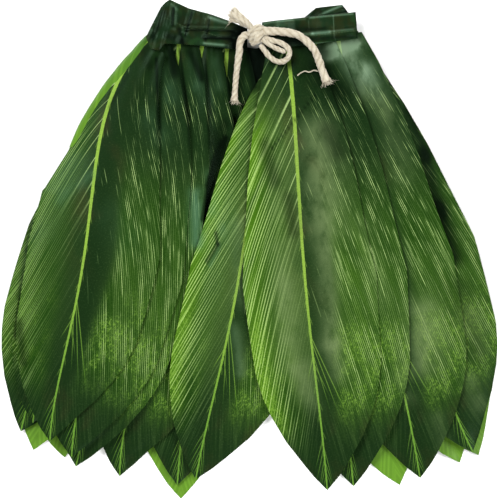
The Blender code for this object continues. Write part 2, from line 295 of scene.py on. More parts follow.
def frames_along(line):
    """Two directions across a line at each of its points, carried along it without a twist."""
    heading = np.gradient(line, axis=0)
    heading /= np.linalg.norm(heading, axis=1)[:, None]
    side = np.cross(heading[0], (0.0, 0.0, 1.0))
    sides = []
    for ahead in heading:
        side = side - ahead * (side @ ahead)
        side /= np.linalg.norm(side)
        sides.append(side)
    sides = np.array(sides)
    return sides, np.cross(heading, sides)


def new_piece(name, points, faces, *materials):
    """A smooth mesh piece from points in millimetres."""
    mesh = bpy.data.meshes.new(name)
    mesh.from_pydata((np.asarray(points) * MM).tolist(), [], faces)
    for material in materials:
        mesh.materials.append(material)
    mesh.shade_smooth()
    piece = bpy.data.objects.new(name, mesh)
    bpy.context.scene.collection.objects.link(piece)
    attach(piece, "root")
    return piece


def corner_map(piece, name, places):
    """A UV map that gives each corner of a face the place of its point."""
    mesh = piece.data
    corners = np.zeros(len(mesh.loops), int)
    mesh.loops.foreach_get("vertex_index", corners)
    mesh.uv_layers.new(name=name).data.foreach_set("uv", np.asarray(places)[corners].ravel())


def point_value(piece, name, values):
    piece.data.attributes.new(name, "FLOAT", "POINT").data.foreach_set("value", np.ravel(values))


def cotton_piece(name, points, faces, lay_map, groove):
    piece = new_piece(name, points, faces, cotton)
    corner_map(piece, "lay", lay_map)
    point_value(piece, "groove", groove)
    return piece


def make_rope(name, route, diameter, swell=((0, 1), (1, 1)), groove=STRAND_GROOVE, turn=0.0, step=ROPE_STEP):
    """A rope of laid strands along a route: the piece, its line and its length.

    The rows of swell give a share of the length and the thickness there as a share of the diameter.
    """
    line, length = smooth_route(route, step)
    count = len(line)
    along = distance_along(line)[:, None]
    sides, ups = frames_along(line)
    thickness = np.interp(np.linspace(0, 1, count), *zip(*swell))[:, None]
    angle = np.linspace(0, 2 * np.pi, ROPE_SIDES, endpoint=False)
    drift = LAY_DRIFT * diameter * np.sin(along / diameter * LAY_DRIFT_PACE)
    lay = turn + (along + drift) * 2 * np.pi / (LAY_LENGTH * diameter)
    lobes = np.abs(np.sin((angle[None] - lay) * STRANDS / 2)) ** STRAND_ROUNDNESS
    uneven = sum(
        height * np.sin(angle * waves_around + along * waves_along + turn * own)
        for height, waves_around, waves_along, own in ROPE_WAVES
    )
    radius = diameter / 2 * thickness * (1 - groove + groove * lobes + uneven)
    ring = sides[:, None] * np.cos(angle)[None, :, None] + ups[:, None] * np.sin(angle)[None, :, None]
    points = (line[:, None] + ring * radius[..., None]).reshape(-1, 3)
    last_ring = (count - 1) * ROPE_SIDES
    first_cap, last_cap = len(points), len(points) + 1
    faces = []
    for low in range(0, last_ring, ROPE_SIDES):
        high = low + ROPE_SIDES
        for j in range(ROPE_SIDES):
            after = (j + 1) % ROPE_SIDES
            faces.append((low + j, low + after, high + after, high + j))
    for j in range(ROPE_SIDES):
        after = (j + 1) % ROPE_SIDES
        faces.append((first_cap, after, j))
        faces.append((last_cap, last_ring + j, last_ring + after))
    around = np.tile(np.abs(angle / np.pi - 1), count)
    lay_map = np.stack([around, np.repeat(along, ROPE_SIDES)], axis=1)
    # the groove value, highest between the strands, becomes painted shade in the cotton
    piece = cotton_piece(
        name,
        np.concatenate([points, line[:1], line[-1:]]),
        faces,
        np.concatenate([lay_map, [[0, 0], [0, along[-1, 0]]]]),
        np.concatenate([(1 - lobes).ravel(), [0.5, 0.5]]),
    )
    return piece, line, length


STEM_SIDES = 4
STEM_TAPER = np.array([1.0, 0.95, 0.8, 0.6, 0.3])
STEM_SHADE = (0.5, 0.35, 0.2, 0.1, 0.0)
STEM_THICK = 0.5
STEM_ROOT = 1.5
STEM_MAP_SCALE = 0.05


def make_fray(name, line, radius, length, count, splay, seed):
    """Loose fibres that spring from a line's end, each a thin tapering stem that bends as it goes."""
    draw = np.random.default_rng(seed)
    heading = line[-1] - line[-6]
    heading = heading / np.linalg.norm(heading)
    side = np.cross(heading, (0, 0, 1.0))
    side /= np.linalg.norm(side)
    up = np.cross(side, heading)
    rings = len(STEM_TAPER)
    points, faces = [], []
    for _ in range(count):
        angle, out = draw.uniform(0, 2 * np.pi), math.sqrt(draw.uniform(0, 1))
        across = (side * math.cos(angle) + up * math.sin(angle)) * out
        reach = length * draw.uniform(0.45, 1.0)
        sway = side * draw.normal(0, splay) + up * draw.normal(0, splay * 0.5)
        sizes = STEM_THICK * draw.uniform(0.6, 1.0) * STEM_TAPER
        base = len(points)
        for size, share in zip(sizes, np.linspace(0, 1, rings)):
            bend = across * radius * (1 + share * splay * 1.2) + sway * reach * share**2
            centre = line[-1] + heading * (reach * share - STEM_ROOT) + bend
            for turn in np.arange(STEM_SIDES) * 2 * np.pi / STEM_SIDES:
                points.append(centre + (side * math.cos(turn) + up * math.sin(turn)) * size / 2)
        for low in range(base, base + (rings - 1) * STEM_SIDES, STEM_SIDES):
            high = low + STEM_SIDES
            for q in range(STEM_SIDES):
                after = (q + 1) % STEM_SIDES
                faces.append((low + q, low + after, high + after, high + q))
        tip = base + (rings - 1) * STEM_SIDES
        faces.append(tuple(range(base + STEM_SIDES - 1, base - 1, -1)))
        faces.append(tuple(range(tip, tip + STEM_SIDES)))
    lay_map = np.array(points)[:, :2] * STEM_MAP_SCALE
    return cotton_piece(name, points, faces, lay_map, np.tile(np.repeat(STEM_SHADE, STEM_SIDES), count))


def declare_cord(line, length):
    """Works out the cord's first point and its length in metres, and keeps neither."""
    (line[0] * MM).tolist()
    length * MM


# The cord's two ends, each with the fibres at its tip.
RIGHT_END = (
    (11.0, 173.4, 18.6), (24.2, 172.9, 21.9), (37.0, 170.5, 22.4), (45.1, 165.2, 22.2),
    (51.2, 158.4, 21.8), (54.7, 150.8, 20.0), (57.5, 142.4, 19.0), (61.3, 133.3, 18.9),
)
LEFT_END = (
    (-1.2, 170.8, 16.6), (-5.1, 169.2, 16.0), (-7.7, 164.3, 15.8), (-8.3, 156.8, 15.2),
    (-9.9, 145.8, 13.0), (-11.2, 132.8, 12.2), (-12.1, 118.2, 13.2),
)
ENDS = (
    # name, route, diameter, swell, fibres
    (
        "tie_right_end", RIGHT_END, 6.0, ((0, 1.15), (0.2, 1.1), (0.5, 1.0), (0.9, 1.05), (1, 1.2)),
        {"radius": 3.0, "length": 5.5, "count": 70, "splay": 0.5, "seed": 3},
    ),
    (
        "tie_left_end", LEFT_END, 5.4, ((0, 1.1), (0.3, 1.05), (0.7, 0.82), (0.92, 0.9), (1, 1.15)),
        {"radius": 2.4, "length": 5.0, "count": 46, "splay": 0.45, "seed": 5},
    ),
)

for name, route, diameter, swell, fibres in ENDS:
    rope, line, length = make_rope(name + "_rope", route, diameter, swell)
    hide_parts(name)
    fray = make_fray(name + "_fray", line, **fibres)
    declare_cord(line, length)

# The bow's loop, and the strand that lies inside it and goes back into the knot.
LOOP_THICK = 4.4
INNER_THICK = 0.92 * LOOP_THICK
INNER_SWELL = ((0, 0.5), (0.1, 0.95), (1, 1.0))
INNER_TURN = 1.3
LOOP = (
    (10.3, 168.2, 18.0), (17.8, 166.0, 20.2), (25.8, 163.4, 20.8), (31.0, 158.8, 20.9),
    (31.1, 153.6, 19.4), (27.4, 149.8, 17.4), (21.8, 149.5, 16.4), (16.1, 153.1, 16.6),
    (12.1, 158.0, 17.4), (8.6, 162.9, 17.6),
)
INNER_STRAND = (
    (28.6, 156.6, 20.6), (24.0, 158.4, 20.4), (19.2, 160.6, 20.2), (14.6, 163.4, 20.6), (9.6, 166.8, 20.8),
)

loop, loop_line, loop_length = make_rope("tie_loop_rope", LOOP, LOOP_THICK)
inner, _, _ = make_rope("tie_loop_inner_strand", INNER_STRAND, INNER_THICK, INNER_SWELL, turn=INNER_TURN)
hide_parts("tie_loop")
declare_cord(loop_line, loop_length)

# The short end above the knot: its strands have opened into a wedge with a ragged tip.
TUFT = ((1.8, 176.1, 18.5), (-4.5, 180.6, 18.4), (-9.9, 183.8, 17.6), (-14.4, 186.2, 16.8))
TUFT_THICK = 8.8
TUFT_SWELL = ((0, 0.55), (0.25, 0.72), (0.6, 0.95), (1, 1.05))
TUFT_GROOVE = 0.3
TUFT_STRANDS = (
    # route (x, y, z) and thickness: the three strands that lie side by side over the opened end
    (((2.6, 174.0, 18.6), (-2.4, 178.4, 20.6), (-8.0, 181.2, 20.2), (-14.6, 182.6, 18.6)), 4.0),
    (((2.2, 176.0, 19.6), (-3.0, 181.6, 21.4), (-8.2, 186.2, 20.6), (-12.4, 190.6, 19.0)), 4.4),
    (((2.0, 175.2, 20.6), (-3.4, 180.0, 22.4), (-9.0, 183.6, 21.6), (-15.0, 187.2, 19.8)), 4.4),
)
STRAND_SWELL = ((0, 0.7), (0.3, 0.95), (0.8, 1.1), (1, 0.9))
STRAND_TURN = 0.9

tuft, _, _ = make_rope("tie_tuft_rope", TUFT, TUFT_THICK, TUFT_SWELL, groove=TUFT_GROOVE)
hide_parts("tie_tuft")
for number, (route, thickness) in enumerate(TUFT_STRANDS, 1):
    strand_name = f"tie_tuft_strand_{number}"
    _, line, _ = make_rope(strand_name, route, thickness, STRAND_SWELL, turn=number * STRAND_TURN)
    make_fray(f"tie_tuft_fray_{number}", line, radius=2.0, length=4.5, count=44, splay=0.5, seed=8 + number)

# The knot: the cord passes round the crossing three times, over a core of the strands it holds.
KNOT_CORE = (
    (3.4, 176.4, 17.2), (4.6, 174.0, 18.6), (6.2, 170.8, 19.2), (6.6, 167.6, 18.4), (7.2, 165.2, 16.8),
)
CORE_THICK = 8.6
CORE_SWELL = ((0, 0.7), (0.5, 1), (1, 0.75))
KNOT_WRAPS = (
    ((1.6, 165.6, 15.8), (2.0, 168.4, 19.4), (4.4, 172.0, 21.8), (7.8, 174.8, 20.8), (10.2, 175.8, 17.4)),
    ((2.4, 163.8, 15.4), (5.0, 165.0, 19.0), (7.6, 168.2, 21.0), (9.6, 171.8, 20.4), (10.8, 174.0, 17.0)),
    ((-0.6, 168.6, 15.0), (0.2, 171.6, 18.4), (2.6, 174.6, 20.0), (5.6, 176.6, 19.0), (8.2, 177.2, 16.2)),
)
WRAP_THICK = 4.6
WRAP_TURN = 1.1

knot, _, _ = make_rope("tie_knot_core", KNOT_CORE, CORE_THICK, CORE_SWELL)
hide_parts("tie_knot")
for number, wrap in enumerate(KNOT_WRAPS, 1):
    make_rope(f"tie_knot_wrap_{number}", wrap, WRAP_THICK, turn=number * WRAP_TURN)

# One thin thread has pulled loose from the right end and lies across the leaf.
THREAD_THICK = 1.0
THREAD_GROOVE = 0.05
THREAD_STEP = 1.0
LOOSE_THREAD = (
    (54.2, 141.6, 17.8), (51.0, 142.4, 17.2), (47.4, 141.0, 16.8), (44.0, 141.8, 16.6), (40.6, 140.4, 16.6),
    (37.8, 138.2, 16.6),
)
make_rope("tie_loose_thread", LOOSE_THREAD, THREAD_THICK, groove=THREAD_GROOVE, step=THREAD_STEP)


# Back leaves
# Ten leaf-shaped panels of satin, printed on the side that faces the table and plain bright green on the
# side that shows below the hem. All leaves share one cut. They are sewn by their gathered tops under the
# waistband.
LEAF_CUT = (
    # share of the length, share of the half width
    (0.00, 0.30), (0.07, 0.46), (0.13, 0.57), (0.20, 0.69), (0.30, 0.81), (0.41, 0.90), (0.53, 1.02),
    (0.65, 0.99), (0.73, 0.96), (0.78, 0.89), (0.824, 0.79), (0.883, 0.60), (0.94, 0.34), (0.97, 0.19),
    (1.00, 0.00),
)
SOLID_ROWS = (0, 0.05, 0.11, 0.18, 0.25, 0.31, 0.40, 0.49, 0.58, 0.68, 0.77, 0.84, 0.90, 0.96, 1)
BOW_SHARES = (0.12, 0.33, 0.67)
RIB_POINTS = 241
LEAF_COLUMNS = "name top_x top_y tip_x tip_y bow_top bow_high bow_low left right left_low right_low".split()
BACK_LEAVES = (
    ("back_leaf_5", -7, 140, -32, -160, 0, 0, 0, 49, 49, 0.00, 0.00),
    ("back_leaf_4", -27, 149, -54, -199, 0, 1, -1, 50, 50, 0.03, 0.01),
    ("back_leaf_3", -45, 157, -109, -164, 0, 0, 0, 49, 49, 0.00, 0.00),
    ("back_leaf_2", -60, 163, -147, -166, 1, 3, -7, 50, 49, 0.01, 0.00),
    ("back_leaf_1", -67, 168, -172, -160, 0, 1, 0, 47, 47, -0.07, -0.09),
    ("back_leaf_6", 26, 146, 56, -176, 0, 0, 0, 49, 49, 0.00, 0.00),
    ("back_leaf_7", 44, 160, 121, -188, 0, 1, -1, 49, 49, 0.00, -0.01),
    ("back_leaf_8", 56, 167, 137, -164, 0, 0, 0, 49, 49, 0.00, 0.00),
    ("back_leaf_9", 66, 169, 169, -170, 1, 2, -2, 49, 49, -0.06, 0.00),
    ("back_leaf_10", 72, 170, 184, -164, -1, -4, -7, 49, 48, 0.00, 0.00),
)
MIDDLE = np.array((0.9, 0.2))
WALL = 0.35
LIFT = 0.05
CLEAR = 0.12
SAME_PLACE = 0.08
SPREAD_PASSES = 3
EASING_PASSES = 2
SETTLING_ROUNDS = 4
CUT_SAMPLES = 200
CLOTH_EDGE = math.radians(50)
MAP_UNIT = 100.0
UNDERSIDE = tint(74, 112, 20)
UNDERSIDE_SHADED = tuple(c * 0.78 for c in UNDERSIDE)
UNDERSIDE_DEEP = tint(40, 78, 20)
UNDERSIDE_VEIN = tint(106, 150, 44)
UNDERSIDE_ROUGHNESS = 0.5
UNDERSIDE_SPECULAR = 0.25
WEAVE_DEPTH = 0.00004


class Pile:
    """The height of the top of the cloth laid so far, on a square map of small cells."""

    HALF = 215
    CELL = 1.0
    FILL = (5, 4)

    def __init__(self):
        count = int(2 * self.HALF / self.CELL)
        self.top = np.full((count, count), -CLEAR)

    def cells(self, places):
        return np.clip(((places + self.HALF) / self.CELL).astype(int), 0, len(self.top) - 1)

    def under(self, plan):
        """The highest cloth under and right beside each place."""
        at = self.cells(plan)
        limit = len(self.top) - 1
        near = [
            self.top[np.clip(at[..., 0] + i, 0, limit), np.clip(at[..., 1] + j, 0, limit)]
            for i in (-1, 0, 1) for j in (-1, 0, 1)
        ]
        return np.max(near, axis=0)

    def add(self, grid):
        """Lays a grid of points on the map, each field filled in by a few points between its corners."""
        for i in np.linspace(0, 1, self.FILL[0]):
            for j in np.linspace(0, 1, self.FILL[1]):
                rows = grid[:-1] * (1 - i) + grid[1:] * i
                spots = (rows[:, :-1] * (1 - j) + rows[:, 1:] * j).reshape(-1, 3)
                at = self.cells(spots[:, :2])
                np.maximum.at(self.top, (at[:, 0], at[:, 1]), spots[:, 2])


pile = Pile()


def half_widths(leaf, rows):
    """The cut's half widths to the left and to the right of the midrib, at shares of its length."""
    width = np.interp(rows, *zip(*LEAF_CUT))
    return [leaf[side] * width * (1 + leaf[side + "_low"] * (rows - 0.5)) for side in ("left", "right")]


def leaf_plan(leaf, rows, columns):
    """Points of a leaf seen from above, with each one's place across and along the midrib in millimetres."""
    top = np.array([leaf["top_x"], leaf["top_y"]], float)
    tip = np.array([leaf["tip_x"], leaf["tip_y"]], float)
    length = np.linalg.norm(tip - top)
    heading = (tip - top) / length
    right = np.array([-heading[1], heading[0]])
    terms = [[k * (1 - k) * k**power for power in range(3)] for k in BOW_SHARES]
    bend = np.linalg.solve(terms, [leaf["bow_top"], leaf["bow_high"], leaf["bow_low"]])
    t = np.linspace(0, 1, RIB_POINTS)[:, None]
    rib = top + heading * length * t + right * (t * (1 - t) * (bend[0] + bend[1] * t + bend[2] * t * t))
    slope = np.gradient(rib, axis=0)
    slope /= np.linalg.norm(slope, axis=1)[:, None]
    steps = np.linalg.norm(np.diff(rib, axis=0), axis=1)
    share = np.concatenate([[0], np.cumsum(steps)]) / steps.sum()
    rows = np.array(rows, float)
    centre = np.stack([np.interp(rows, share, rib[:, k]) for k in range(2)], axis=1)
    side = np.stack([np.interp(rows, share, -slope[:, 1]), np.interp(rows, share, slope[:, 0])], axis=1)
    left, half_right = half_widths(leaf, rows)
    if "drawn_in" in leaf:
        left = left * np.interp(rows, *zip(*leaf["drawn_in"]))
    if "fold" in leaf:
        fold = np.array(leaf["fold"])
        left = np.where(rows <= fold[-1, 0], np.interp(rows, *fold.T), left)
    reach = np.where(columns < 0, left[:, None] * columns, half_right[:, None] * columns)
    plan = centre[:, None] + side[:, None] * reach[..., None] - MIDDLE
    return plan, reach, np.repeat(rows[:, None] * steps.sum(), len(columns), axis=1)


def solid_heights(name, plan):
    """The height of the underside of a solid's wall at the places of its own coarse grid."""
    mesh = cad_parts[name].data
    points = np.zeros(len(mesh.vertices) * 3, np.float32)
    mesh.vertices.foreach_get("co", points)
    points = points.reshape(-1, 3).astype(float) / MM
    away = np.linalg.norm(plan.reshape(-1, 1, 2) - points[None, :, :2], axis=2)
    low = np.where(away < SAME_PLACE, points[None, :, 2], np.inf).min(axis=1)
    nearest = points[away.argmin(axis=1), 2]
    return np.where(np.isfinite(low), low, nearest).reshape(plan.shape[:2])


def finer(values, rows, columns, new_rows, new_columns):
    """A coarse grid of values read at finer rows and columns."""
    down = np.stack([np.interp(new_rows, rows, values[:, j]) for j in range(len(columns))], axis=1)
    return np.stack([np.interp(new_columns, columns, down[i]) for i in range(len(new_rows))])


def softened(values, passes):
    for _ in range(passes):
        padded = np.pad(values, 1, mode="edge")
        neighbours = padded[:-2, 1:-1] + padded[2:, 1:-1] + padded[1:-1, :-2] + padded[1:-1, 2:]
        values = (neighbours + 4 * values) / 8
    return values


def settled(plan, low):
    """The cloth's underside raised clear of the pile beneath it and eased again."""
    need = pile.under(plan) + CLEAR
    padded = np.pad(need, 1, mode="edge")
    rows, columns = need.shape
    highest = np.max([padded[i : i + rows, j : j + columns] for i in range(3) for j in range(3)], axis=0)
    need = np.maximum(softened(highest, SPREAD_PASSES), need)
    for _ in range(SETTLING_ROUNDS):
        low = np.maximum(low, need)
        low = np.maximum(softened(low, EASING_PASSES), need)
    return low


def cloth_wall(name, under, over, *materials):
    """A thin closed wall between two grids of points. The first material is on the upper side."""
    rows, columns = under.shape[:2]
    points = np.concatenate([over.reshape(-1, 3), under.reshape(-1, 3)])
    below = rows * columns
    faces, sides = [], []
    for i in range(rows - 1):
        for j in range(columns - 1):
            corners = (i * columns + j, (i + 1) * columns + j, (i + 1) * columns + j + 1, i * columns + j + 1)
            faces.append(corners)
            faces.append(tuple(below + c for c in corners[::-1]))
            sides += [0, 1]
    rim = [i * columns for i in range(rows)] + [(rows - 1) * columns + j for j in range(1, columns)]
    rim += [i * columns + columns - 1 for i in range(rows - 2, -1, -1)] + list(range(columns - 2, 0, -1))
    for here, after in zip(rim, rim[1:] + rim[:1]):
        faces.append((here, below + here, below + after, after))
        sides.append(1)
    piece = new_piece(name, points, faces, *materials)
    piece.data.polygons.foreach_set("material_index", sides)
    piece.data.set_sharp_from_angle(angle=CLOTH_EDGE)
    return piece


def at_height(plan, height):
    return np.concatenate([plan, height[..., None]], axis=-1)


def marks(grid, lines):
    """Soft marks, each along a line from one place to another: x, y, x, y, half width, strength."""
    total = np.zeros(grid.shape[:2])
    for x0, y0, x1, y1, half, strength in lines:
        run = np.array((x1 - x0, y1 - y0), float)
        length = max(np.hypot(*run), 0.01)
        away = grid[..., :2] - (x0, y0)
        along, off = away @ run / length, away @ (-run[1], run[0]) / length
        beyond = np.maximum(np.maximum(-along, along - length), 0)
        total += strength * np.exp(-(off**2 + beyond**2) / half**2)
    return total


def underside_cloth():
    """Plain bright green with faint side veins, darker where other cloth shades it."""
    material, start, surface = new_cloth("leaf_underside", UNDERSIDE_ROUGHNESS, UNDERSIDE_SPECULAR)
    x, y = (place * MAP_UNIT for place in start.uv("cloth"))
    veins = start.cloud(abs(x) * 0.5 - y * 0.16, y * 0.01).rise(0.5, 0.66)
    cloudy = start.cloud(x * 0.02, y * 0.02, detail=3.0)
    base = start.blend(cloudy.rise(0.3, 0.75), UNDERSIDE, UNDERSIDE_SHADED)
    base = start.blend(start.value("shade"), base, UNDERSIDE_DEEP)
    join_up(surface, "Base Color", start.blend(veins * 0.22, base, UNDERSIDE_VEIN))
    emboss(surface, start.cloud(x * 6, y * 6, detail=1.0), WEAVE_DEPTH)
    return material


underside = underside_cloth()


def leaf_maps(piece, columns, reach, along, **values):
    """The leaf's UV maps and point values, twice over, for its upper and its lower side."""
    cut = [(np.broadcast_to(columns, reach.shape) + 1) / 2, 1 - along / along.max()]
    for label, pair in (("cut", cut), ("cloth", [reach / MAP_UNIT, along / MAP_UNIT])):
        corner_map(piece, label, np.tile(np.stack(pair, axis=-1).reshape(-1, 2), (2, 1)))
    for label, grid in values.items():
        point_value(piece, label, np.tile(np.broadcast_to(grid, reach.shape).ravel(), 2))


def declare_leaf(leaf, along):
    """Hides the leaf's part and works out the size and the area of its flat cut, and keeps none of them."""
    left, right = half_widths(leaf, np.linspace(0, 1, CUT_SAMPLES))
    length, across = along.max(), left + right
    area = across.mean() * length * MM * MM
    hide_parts(leaf["name"])
    across.max() * MM
    length * MM


RIPPLE_WAVES = 7


def ripples(plan, size, height, seed):
    """Slight unevenness of cloth that has been folded and smoothed out: a few long waves at odd angles."""
    draw = np.random.default_rng(seed)
    total = np.zeros(plan.shape[:2])
    for _ in range(RIPPLE_WAVES):
        angle, phase, wave = draw.uniform(0, np.pi), draw.uniform(0, 6.3), size * draw.uniform(0.6, 1.6)
        total += np.sin((plan[..., 0] * math.cos(angle) + plan[..., 1] * math.sin(angle)) / wave + phase)
    return height * total / 3


EXPOSURE = 0.5


def seen(red, green, blue):
    """A colour as it shows on screen, 0 to 255, for mixing before developed()."""
    return (red / 255, green / 255, blue / 255)


def developed(colour):
    """Colours mixed as they show on screen, turned into what the cloth must be under the scene's light."""
    linear = colour.node("ShaderNodeGamma", 0, None, {"Color": colour, "Gamma": 2.2})
    scale = {"operation": "SCALE"}
    return linear.node("ShaderNodeVectorMath", 0, scale, {0: linear, "Scale": EXPOSURE})


SATIN_GLOSS = (0.45, 0.80, 0.50)
SATIN_ROUGHNESS = 0.30
PRINT_SPECULAR = 0.08
DARK = seen(30, 51, 26)
OLIVE = seen(46, 52, 30)
LEAF_GREEN = seen(82, 112, 52)
MARGIN_GREEN = seen(142, 202, 46)
STREAK = seen(208, 240, 152)
LINE_DEEP = seen(34, 70, 14)
LIME = seen(152, 192, 74)
LOW_LIME = seen(110, 158, 60)
SPECKLE = seen(140, 184, 72)
FLECK = seen(220, 230, 200)
FLECK_PLACE = (26, 47)
FOLD_SHADOW = seen(10, 18, 10)
COOL_SHEEN = seen(88, 130, 102)
WARM_SHEEN = seen(134, 154, 104)
PALE_SHEEN = seen(150, 178, 146)
TYPICAL_LENGTH = 350.0
VEIN_SPACING = 8.4
BARB_SPACING = 23.0
COMBS = {
    # spacing (mm), changes along a line (1/mm), pattern, where a line's strength rises from and to, and its
    # stroke
    "fine": (1.3, 0.012, 13.0, 0.30, 0.54, 0.52, 0.92),
    "some": (4.6, 0.009, 21.0, 0.46, 0.60, 0.74, 0.90),
    "dashes": (1.5, 0.032, 2.0, 0.45, 0.55, 0.55, 0.95),
    "longer": (1.6, 0.016, 31.0, 0.30, 0.60, 0.52, 0.92),
    "lone": (4.1, 0.030, 8.0, 0.60, 0.66, 0.80, 0.92),
}
STRETCHES = {
    # where down the leaf a part of the print sets in, is full, begins to fade and has gone, as shares of
    # the length
    "bright green": (0.04, 0.30, 0.72, 0.92),
    "outer green": (0.34, 0.55, 0.70, 0.84),
    "margin": (0.10, 0.26, 0.80, 0.92),
    "glow": (0.34, 0.50, 0.72, 0.86),
    "side veins": (0.10, 0.30, 0.82, 0.97),
    "bold veins": (0.00, 0.03, 0.30, 0.55),
    "dashes": (0.02, 0.15, 0.46, 0.62),
    "long streaks": (0.30, 0.50, 0.74, 0.90),
    "lone streaks": (0.02, 0.08, 0.50, 0.70),
    "deep lines": (0.25, 0.45, 0.78, 0.92),
    "mottle": (0.58, 0.70, 0.80, 0.90),
    "left mottle": (0.56, 0.66, 0.82, 0.92),
    "tip lines": (0.80, 0.88, 1.10, 1.20),
    "barbs": (0.10, 0.14, 0.90, 0.94),
}
FORKS = (
    # side, share where it leaves the midrib, slope, share where it ends, half width (mm)
    (1, 0.655, 0.33, 0.87, 0.42), (1, 0.665, 0.25, 0.86, 0.36), (1, 0.690, 0.18, 0.84, 0.30),
    (1, 0.715, 0.34, 0.80, 0.30), (-1, 0.700, 0.34, 0.76, 0.34), (-1, 0.885, 0.34, 0.96, 0.26),
    (-1, 0.905, 0.30, 0.99, 0.30), (-1, 0.925, 0.24, 1.00, 0.32), (-1, 0.945, 0.28, 1.00, 0.30),
    (-1, 0.962, 0.22, 1.00, 0.28), (1, 0.900, 0.16, 0.99, 0.28), (1, 0.935, 0.24, 1.00, 0.32),
    (1, 0.958, 0.30, 1.00, 0.28),
)


def combed(start, kind, place, y, sway, wider=0.0):
    """Parallel lines over a place in millimetres, each with its own strong and faint stretches."""
    spacing, pace, pattern, low, high, thin, full = COMBS[kind]
    place = place / (wider + spacing) + sway
    stroke = (1 - abs(start.math("FRACT", place) - 0.5) * 2).rise(thin, full)
    own = start.cloud(start.math("FLOOR", place) * 1.37, y * pace, pattern, 1.0)
    return stroke * own.rise(low, high)


